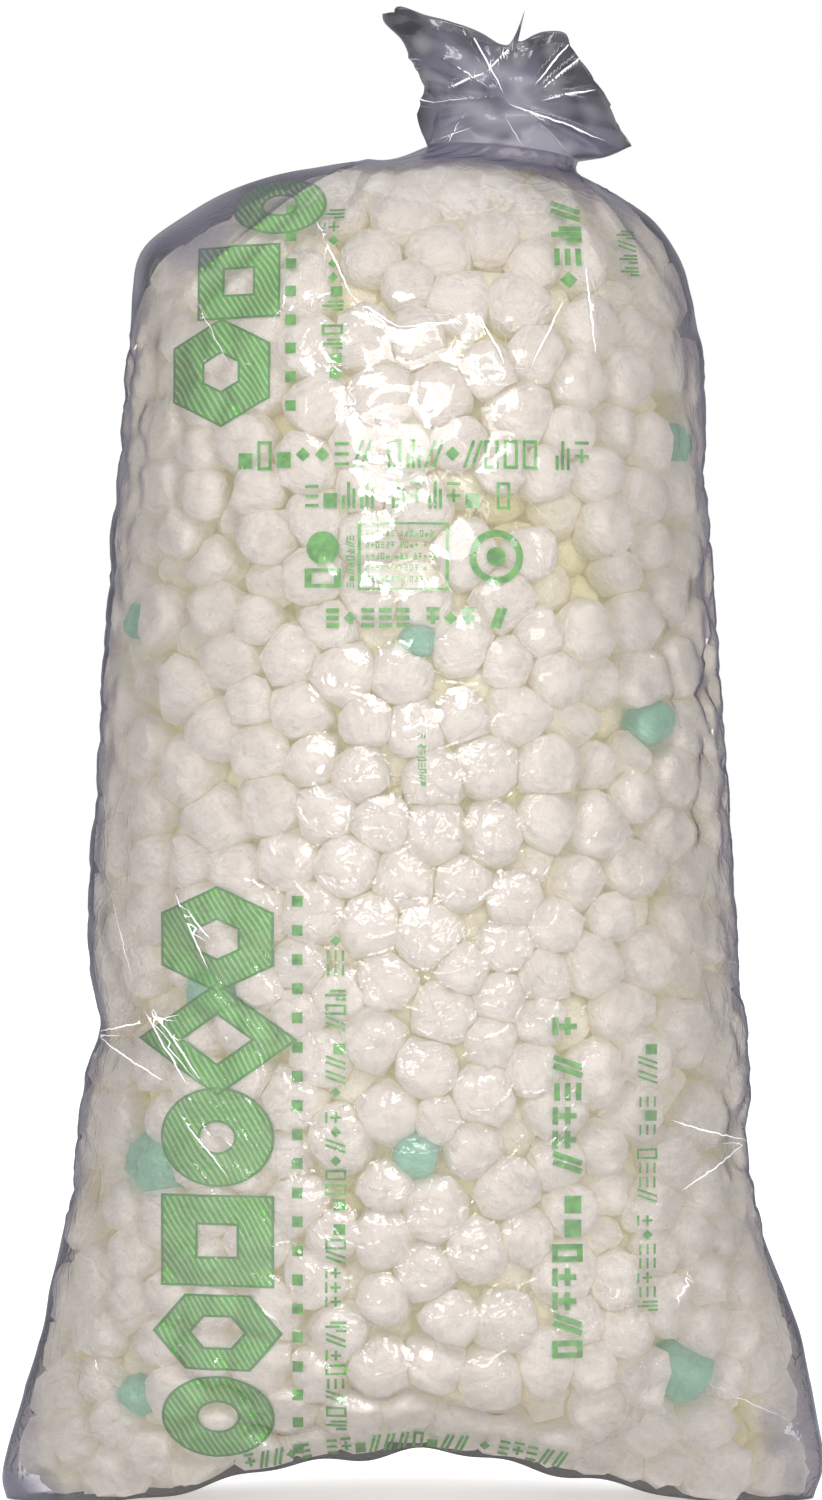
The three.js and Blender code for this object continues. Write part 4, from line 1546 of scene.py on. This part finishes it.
@dataclass
class Print:
    """The green marks on the bag's front, laid against the inside of the film."""

    film: FilmBag
    sunk: float = 0.0003
    seed: int = 5
    hatched: tuple[WideMark, ...] = (
        WideMark(-0.101, 0.301, 0.060, 0.048, Outline.HEXAGON, 0.36),
        WideMark(-0.101, 0.249, 0.060, 0.042, Outline.SQUARE, 0.42, math.pi / 4),
        WideMark(-0.101, 0.198, 0.060, 0.052, Outline.DISC, 0.30),
        WideMark(-0.101, 0.144, 0.060, 0.048, Outline.SQUARE, 0.34),
        WideMark(-0.101, 0.096, 0.060, 0.040, Outline.HEXAGON, 0.40, math.pi / 6),
        WideMark(-0.101, 0.051, 0.060, 0.044, Outline.DISC, 0.34),
        WideMark(-0.099, 0.596, 0.052, 0.050, Outline.HEXAGON, 0.34),
        WideMark(-0.090, 0.644, 0.044, 0.040, Outline.SQUARE, 0.34),
        WideMark(-0.069, 0.686, 0.050, 0.034, Outline.DISC, 0.34, 0.6),
    )
    plain: tuple[WideMark, ...] = (
        WideMark(-0.0455, 0.503, 0.017, 0.017, Outline.DISC),
        WideMark(-0.0455, 0.4875, 0.019, 0.010, Outline.SQUARE, 0.62),
        WideMark(0.0440, 0.4985, 0.028, 0.028, Outline.DISC, 0.74),
        WideMark(0.0440, 0.4985, 0.010, 0.010, Outline.DISC),
        WideMark(-0.0040, 0.4985, 0.0470, 0.0350, Outline.SQUARE, 0.93),
    )
    bands: tuple[StrokeBand, ...] = (
        StrokeBand((-0.091, 0.5515), (0.094, 0.5515), 0.0150, 0.0016),
        StrokeBand((-0.056, 0.5300), (0.060, 0.5300), 0.0140, 0.0016),
        StrokeBand((-0.045, 0.4668), (0.050, 0.4668), 0.0110, 0.0024),
        StrokeBand((-0.0390, 0.044), (-0.0390, 0.310), 0.0110, 0.0013),
        StrokeBand((-0.0410, 0.590), (-0.0400, 0.688), 0.0110, 0.0013),
        StrokeBand((0.0813, 0.082), (0.0813, 0.264), 0.0160, 0.0030),
        StrokeBand((0.0825, 0.638), (0.0805, 0.694), 0.0160, 0.0030),
        StrokeBand((0.1235, 0.106), (0.1235, 0.250), 0.0110, 0.0012),
        StrokeBand((0.1155, 0.648), (0.1125, 0.682), 0.0100, 0.0012),
        StrokeBand((0.0056, 0.380), (0.0056, 0.409), 0.0045, 0.0006),
        StrokeBand((-0.0313, 0.482), (-0.0313, 0.515), 0.0045, 0.0008),
        StrokeBand((-0.088, 0.0255), (-0.045, 0.0350), 0.0100, 0.0016),
        StrokeBand((-0.045, 0.0350), (0.000, 0.0395), 0.0100, 0.0016),
        StrokeBand((0.000, 0.0395), (0.045, 0.0355), 0.0100, 0.0016),
        StrokeBand((0.045, 0.0355), (0.088, 0.0260), 0.0100, 0.0016),
    )
    box_lines: int = 5
    dot_size: float = 0.0056
    dot_pitch: float = 0.0151

    def dots(self) -> list[tuple[float, float, float, float, float]]:
        """The column of small squares beside the hatched figures."""
        lower = [(-0.0589, 0.034 + i * self.dot_pitch) for i in range(20)]
        upper = [(-0.0625, 0.577 + i * self.dot_pitch) for i in range(8)]
        return [(x, z, self.dot_size, self.dot_size, 0.0) for x, z in lower + upper]

    def strokes_of(self, band: StrokeBand, random: np.random.Generator) -> list:
        """The strokes of one band: where each lies, its width, its height and its turn."""
        start, end = np.array(band.start), np.array(band.end)
        length = float(np.linalg.norm(end - start))
        way = (end - start) / length
        up = np.array([-way[1], way[0]])
        turn = math.atan2(way[1], way[0])
        half, weight = band.height / 2, band.weight
        cell = band.height * 0.52 + weight * 1.4
        strokes, along, left = [], cell / 2, int(random.integers(4, 9))
        while along < length - cell / 2:
            if left == 0:
                left = int(random.integers(3, 9))
                along += cell * 0.7
                continue
            left -= 1
            middle = start + way * along
            sign = self.sign(int(random.integers(7)), cell * 0.74, weight, half)
            for across, above, wide, tall, lean in sign:
                place = middle + way * across + up * above
                strokes.append((*place, wide, tall, turn + lean))
            along += cell
        return strokes

    @staticmethod
    def sign(kind: int, wide: float, weight: float, half: float) -> list[tuple]:
        """A plain sign of a few bars: for each its place across and up, width, height and lean."""
        side, tall = wide / 2 - weight / 2, half * 2
        top, eighth = half - weight / 2, math.pi / 4
        signs = [
            [
                (-side, 0, weight, tall, 0),
                (side, 0, weight, tall, 0),
                (0, top, wide, weight, 0),
                (0, -top, wide, weight, 0),
            ],
            [
                (-side, -half / 2, weight, half, 0),
                (0, 0, weight, tall, 0),
                (side, -half / 4, weight, half * 1.5, 0),
            ],
            [(-side / 2, 0, weight, tall, -0.35), (side * 0.9, 0, weight, tall, -0.35)],
            [(0, 0, wide * 0.72, wide * 0.72, eighth)],
            [(0, -half * 0.7, wide, weight, 0), (0, 0, wide, weight, 0), (0, half * 0.7, wide, weight, 0)],
            [(0, -half * 0.35, wide, half * 1.1, 0)],
            [(0, 0, weight, wide, 0), (0, 0, wide, weight, 0), (0, top, wide, weight, 0)],
        ]
        return signs[kind]

    def box_strokes(self) -> list[StrokeBand]:
        """The bands of tiny strokes inside the outlined box."""
        box = self.plain[-1]
        rise = box.height / (self.box_lines + 1)
        left, right = box.x - box.width * 0.42, box.x + box.width * 0.40
        heights = [box.z - box.height / 2 + rise * (i + 1) for i in range(self.box_lines)]
        return [
            StrokeBand((left, z), (right - (i % 2) * 0.006, z), 0.0034, 0.0006)
            for i, z in enumerate(heights)
        ]

    def stamp_tree(self, material: bpy.types.Material) -> bpy.types.NodeTree:
        """Geometry nodes that put a small upright sheet on each point of a mesh.

        Args:
            material: the ink.

        Returns:
            The tree, with named inputs for how finely each stroke is divided.
        """
        maker = TreeMaker.geometry("stroke_nodes")
        across = maker.input("Cells Across", "NodeSocketInt", 2)
        along = maker.input("Cells Along", "NodeSocketInt", 6)
        sheet = maker.add(
            "GeometryNodeMeshGrid",
            {
                "Size X": 1.0,
                "Size Y": 1.0,
                "Vertices X": maker.math("ADD", across, 1),
                "Vertices Y": maker.math("ADD", along, 1),
            },
        ).outputs["Mesh"]
        turn = maker.add("GeometryNodeInputNamedAttribute", {"Name": "turn"}, data_type="FLOAT_VECTOR")
        span = maker.add("GeometryNodeInputNamedAttribute", {"Name": "span"}, data_type="FLOAT_VECTOR")
        rotation = maker.add("FunctionNodeEulerToRotation", {0: turn.outputs["Attribute"]}).outputs[0]
        stamped = maker.add(
            "GeometryNodeInstanceOnPoints",
            {
                "Points": maker.geometry_in,
                "Instance": sheet,
                "Rotation": rotation,
                "Scale": span.outputs["Attribute"],
            },
        ).outputs[0]
        real = maker.add("GeometryNodeRealizeInstances", {"Geometry": stamped}).outputs[0]
        finished = maker.add("GeometryNodeSetMaterial", {"Geometry": real, "Material": material})
        return maker.finish(finished.outputs[0])

    def build_strokes(self, material: bpy.types.Material) -> bpy.types.Object:
        """Makes every small stroke as one piece."""
        random = np.random.default_rng(self.seed)
        strokes = self.dots()
        for band in (*self.bands, *self.box_strokes()):
            strokes.extend(self.strokes_of(band, random))
        table = np.array(strokes)
        points = np.stack([table[:, 0], np.full(len(table), -0.3), table[:, 1]], axis=1)
        seeds = new_mesh("stroke_seeds", points, [])
        turns = np.stack([np.full(len(table), math.pi / 2), -table[:, 4], np.zeros(len(table))], axis=1)
        spans = np.stack([table[:, 2], table[:, 3], np.ones(len(table))], axis=1)
        for name, values in (("turn", turns), ("span", spans)):
            attribute = seeds.data.attributes.new(name, "FLOAT_VECTOR", "POINT")
            attribute.data.foreach_set("vector", values.ravel())
        piece = grow(seeds, self.stamp_tree(material), "print_strokes", {"Cells Across": 2, "Cells Along": 6})
        self.lay_on_film(piece)
        return piece

    @staticmethod
    def outline_of(mark: WideMark, angle: Array) -> Array:
        """How far a mark's outline lies from its middle at each angle, on a mark one unit wide and high."""
        if mark.outline is Outline.DISC:
            return np.full(len(angle), 0.5)
        sides = mark.outline.value
        step = 2 * math.pi / sides
        local = (angle + step / 2) % step - step / 2
        return 0.5 / np.cos(local)

    def build_wide(
        self, name: str, marks: tuple[WideMark, ...], material: bpy.types.Material
    ) -> bpy.types.Object:
        """Makes wide marks as one piece of polar grids.

        Args:
            name: the piece's name.
            marks: the marks.
            material: the ink.

        Returns:
            The piece, with each point's distance from its mark's rim.
        """
        spokes, bands = 96, 14
        angle = np.arange(spokes) / spokes * 2 * math.pi
        points, faces, rims = [], [], []
        for mark in marks:
            first = len(points)
            reach = self.outline_of(mark, angle)
            for band in range(bands + 1):
                share = mark.hole + (1 - mark.hole) * band / bands
                across = np.cos(angle) * reach * share
                up = np.sin(angle) * reach * share
                x = (across * math.cos(mark.turn) - up * math.sin(mark.turn)) * mark.width
                z = (across * math.sin(mark.turn) + up * math.cos(mark.turn)) * mark.height
                points.extend(np.stack([mark.x + x, np.full(spokes, -0.3), mark.z + z], axis=1))
                outer_gap = (1 - share) * min(mark.width, mark.height) / 2
                hole_gap = (share - mark.hole) * min(mark.width, mark.height) / 2 if mark.hole else 1.0
                rims.extend([min(outer_gap, hole_gap)] * spokes)
            faces.extend(
                tuple(first + i for i in (a, b, c, d))
                for a, b, c, d in ring_faces(bands + 1, spokes)
            )
        piece = new_mesh(name, np.array(points), faces)
        write_floats(piece.data, "rim", rims)
        piece.data.materials.append(material)
        self.lay_on_film(piece)
        return piece

    def lay_on_film(self, piece: bpy.types.Object) -> None:
        """Carries a flat piece in front of the bag back onto the film, just inside it."""
        work = bmesh.new()
        work.from_mesh(piece.data)
        missed = []
        for vertex in work.verts:
            place, normal, _, _ = self.film.tree.ray_cast(vertex.co, Vector((0, 1, 0)))
            if place is None:
                missed.append(vertex)
            else:
                vertex.co = place - normal * self.sunk
        bmesh.ops.delete(work, geom=missed, context="VERTS")
        work.to_mesh(piece.data)
        work.free()
        piece.data.polygons.foreach_set("use_smooth", [True] * len(piece.data.polygons))


# ---------------------------------------------------------------- the stage


@dataclass
class Studio:
    """A wide pale floor in a white room, soft lights, and the camera in front."""

    distance: float = 2.8
    eye_height: float = 0.34
    frame_height: float = 0.8075
    floor_size: float = 60.0
    sensor: float = 36.0

    def build(self) -> None:
        """Makes the stage, the lights and the camera."""
        self.camera()
        self.floor()
        self.lights()

    def camera(self) -> None:
        """Puts the camera in front, a little under the bag's middle."""
        low, high = CAD_BOX
        middle = Vector(((low[0] + high[0]) / 2, 0, (low[2] + high[2]) / 2))
        lens = bpy.data.cameras.new("camera")
        lens.sensor_fit = "VERTICAL"
        lens.sensor_height = self.sensor
        lens.lens = self.sensor * self.distance / self.frame_height
        camera = bpy.data.objects.new("camera", lens)
        camera.location = (middle.x, -self.distance, self.eye_height)
        camera.rotation_euler = (middle - camera.location).to_track_quat("-Z", "Y").to_euler()
        bpy.context.scene.collection.objects.link(camera)
        bpy.context.scene.camera = camera

    def floor(self) -> None:
        """Makes the wide pale floor."""
        half = self.floor_size / 2
        corners = [(-half, -half, 0), (half, -half, 0), (half, half, 0), (-half, half, 0)]
        floor = new_mesh("studio_floor", np.array(corners) - (0, 0, 0.0004), [(0, 1, 2, 3)])
        maker, material = TreeMaker.material("studio_paper")
        paper = maker.add(
            "ShaderNodeBsdfPrincipled",
            {
                "Base Color": (0.9, 0.9, 0.9, 1),
                "Roughness": 0.9,
                "Emission Color": (1, 1, 1, 1),
                "Emission Strength": 0.35,
            },
        )
        maker.link(paper.outputs[0], maker.end.inputs[0])
        floor.data.materials.append(material)

    def lights(self) -> None:
        """Hangs soft boxes round the bag, and lights the room evenly."""
        world = bpy.data.worlds.new("room")
        world.use_nodes = True
        back = world.node_tree.nodes["Background"]
        back.inputs["Color"].default_value = (1, 1, 1, 1)
        back.inputs["Strength"].default_value = 1.0
        bpy.context.scene.world = world
        self.soft_box("front", (0.2, -3.2, 1.35), (0, 0, 0.4), 1.8, 1.2, 26)
        self.soft_box("key", (-0.42, -2.4, 1.45), (0, 0, 0.4), 0.60, 0.40, 9)
        self.soft_box("window", (0.50, -2.3, 1.30), (0, 0, 0.4), 0.22, 0.60, 6)
        self.soft_box("low", (-0.25, -2.6, 0.70), (0, 0, 0.4), 0.56, 0.30, 8)
        self.soft_box("top", (0.1, 0.2, 2.4), (0, 0, 0.4), 1.4, 0.9, 8)

    @staticmethod
    def soft_box(
        name: str, place: tuple, target: tuple, width: float, height: float, power: float
    ) -> None:
        """Hangs one rectangular light, turned to a point."""
        light = bpy.data.lights.new(name, "AREA")
        light.shape = "RECTANGLE"
        light.size, light.size_y = width, height
        light.energy = power
        lamp = bpy.data.objects.new(name, light)
        lamp.location = place
        lamp.rotation_euler = (Vector(target) - Vector(place)).to_track_quat("-Z", "Y").to_euler()
        bpy.context.scene.collection.objects.link(lamp)


# ---------------------------------------------------------------- putting it together


def report(piece: bpy.types.Object) -> None:
    """Logs a piece's name and how many triangles it has."""
    triangles = sum(len(p.vertices) - 2 for p in piece.data.polygons)
    LOG.info("%s: %d triangles", piece.name, triangles)


def settle_piece(piece: bpy.types.Object, slot: str, *nodes: str) -> None:
    """Puts a finished piece under the root body, hides the imported nodes it stands for, and logs it."""
    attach(piece, "root")
    if nodes:
        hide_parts(*nodes)
    report(piece)


def main() -> None:
    """Builds the bag and everything round it."""
    logging.basicConfig(level=logging.INFO, format="%(message)s")
    bpy.context.scene.view_settings.view_transform = "Standard"
    studio = Studio()
    studio.build()
    skin = Skin()
    heap = NuggetHeap(skin)
    heap.settle()
    white = StarchFinish(
        "starch_white", (0.71, 0.655, 0.605, 1), (0.62, 0.570, 0.515, 1), (0.62, 0.57, 0.35, 1)
    ).build()
    green = StarchFinish(
        "starch_green", (0.27, 0.50, 0.37, 1), (0.20, 0.41, 0.30, 1), (0.14, 0.32, 0.23, 1)
    ).build()
    outer = np.flatnonzero((heap.depth < heap.outer_to) & ~heap.green)
    inner = np.flatnonzero((heap.depth >= heap.outer_to) & ~heap.green)
    nodes = sorted(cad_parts)
    whites = [name for name in nodes if name.startswith("nugget_white")]
    greens = [name for name in nodes if name.startswith("nugget_green")]
    pieces = [heap.pellets("nuggets_outer", outer, white, 3)]
    settle_piece(pieces[0], "nugget_white", *whites)
    pieces.append(heap.pellets("nuggets_inner", inner, white, 2))
    settle_piece(pieces[1], "nugget_white", "loose_fill")
    pieces.append(heap.pellets("nuggets_green", np.flatnonzero(heap.green), green, 4))
    settle_piece(pieces[2], "nugget_green", *greens)
    film_bag = FilmBag(skin, heap)
    film = film_bag.build(FilmFinish("clear_film").build(), pieces)
    settle_piece(film, "film", "film_bag")
    marks = Print(film_bag)
    settle_piece(marks.build_strokes(InkFinish("ink_plain").build()), "print")
    settle_piece(marks.build_wide("print_plain", marks.plain, InkFinish("ink_solid").build()), "print")
    hatched = InkFinish("ink_hatched", hatched=True).build()
    settle_piece(marks.build_wide("print_hatched", marks.hatched, hatched), "print")


if __name__ == "__main__":
    main()
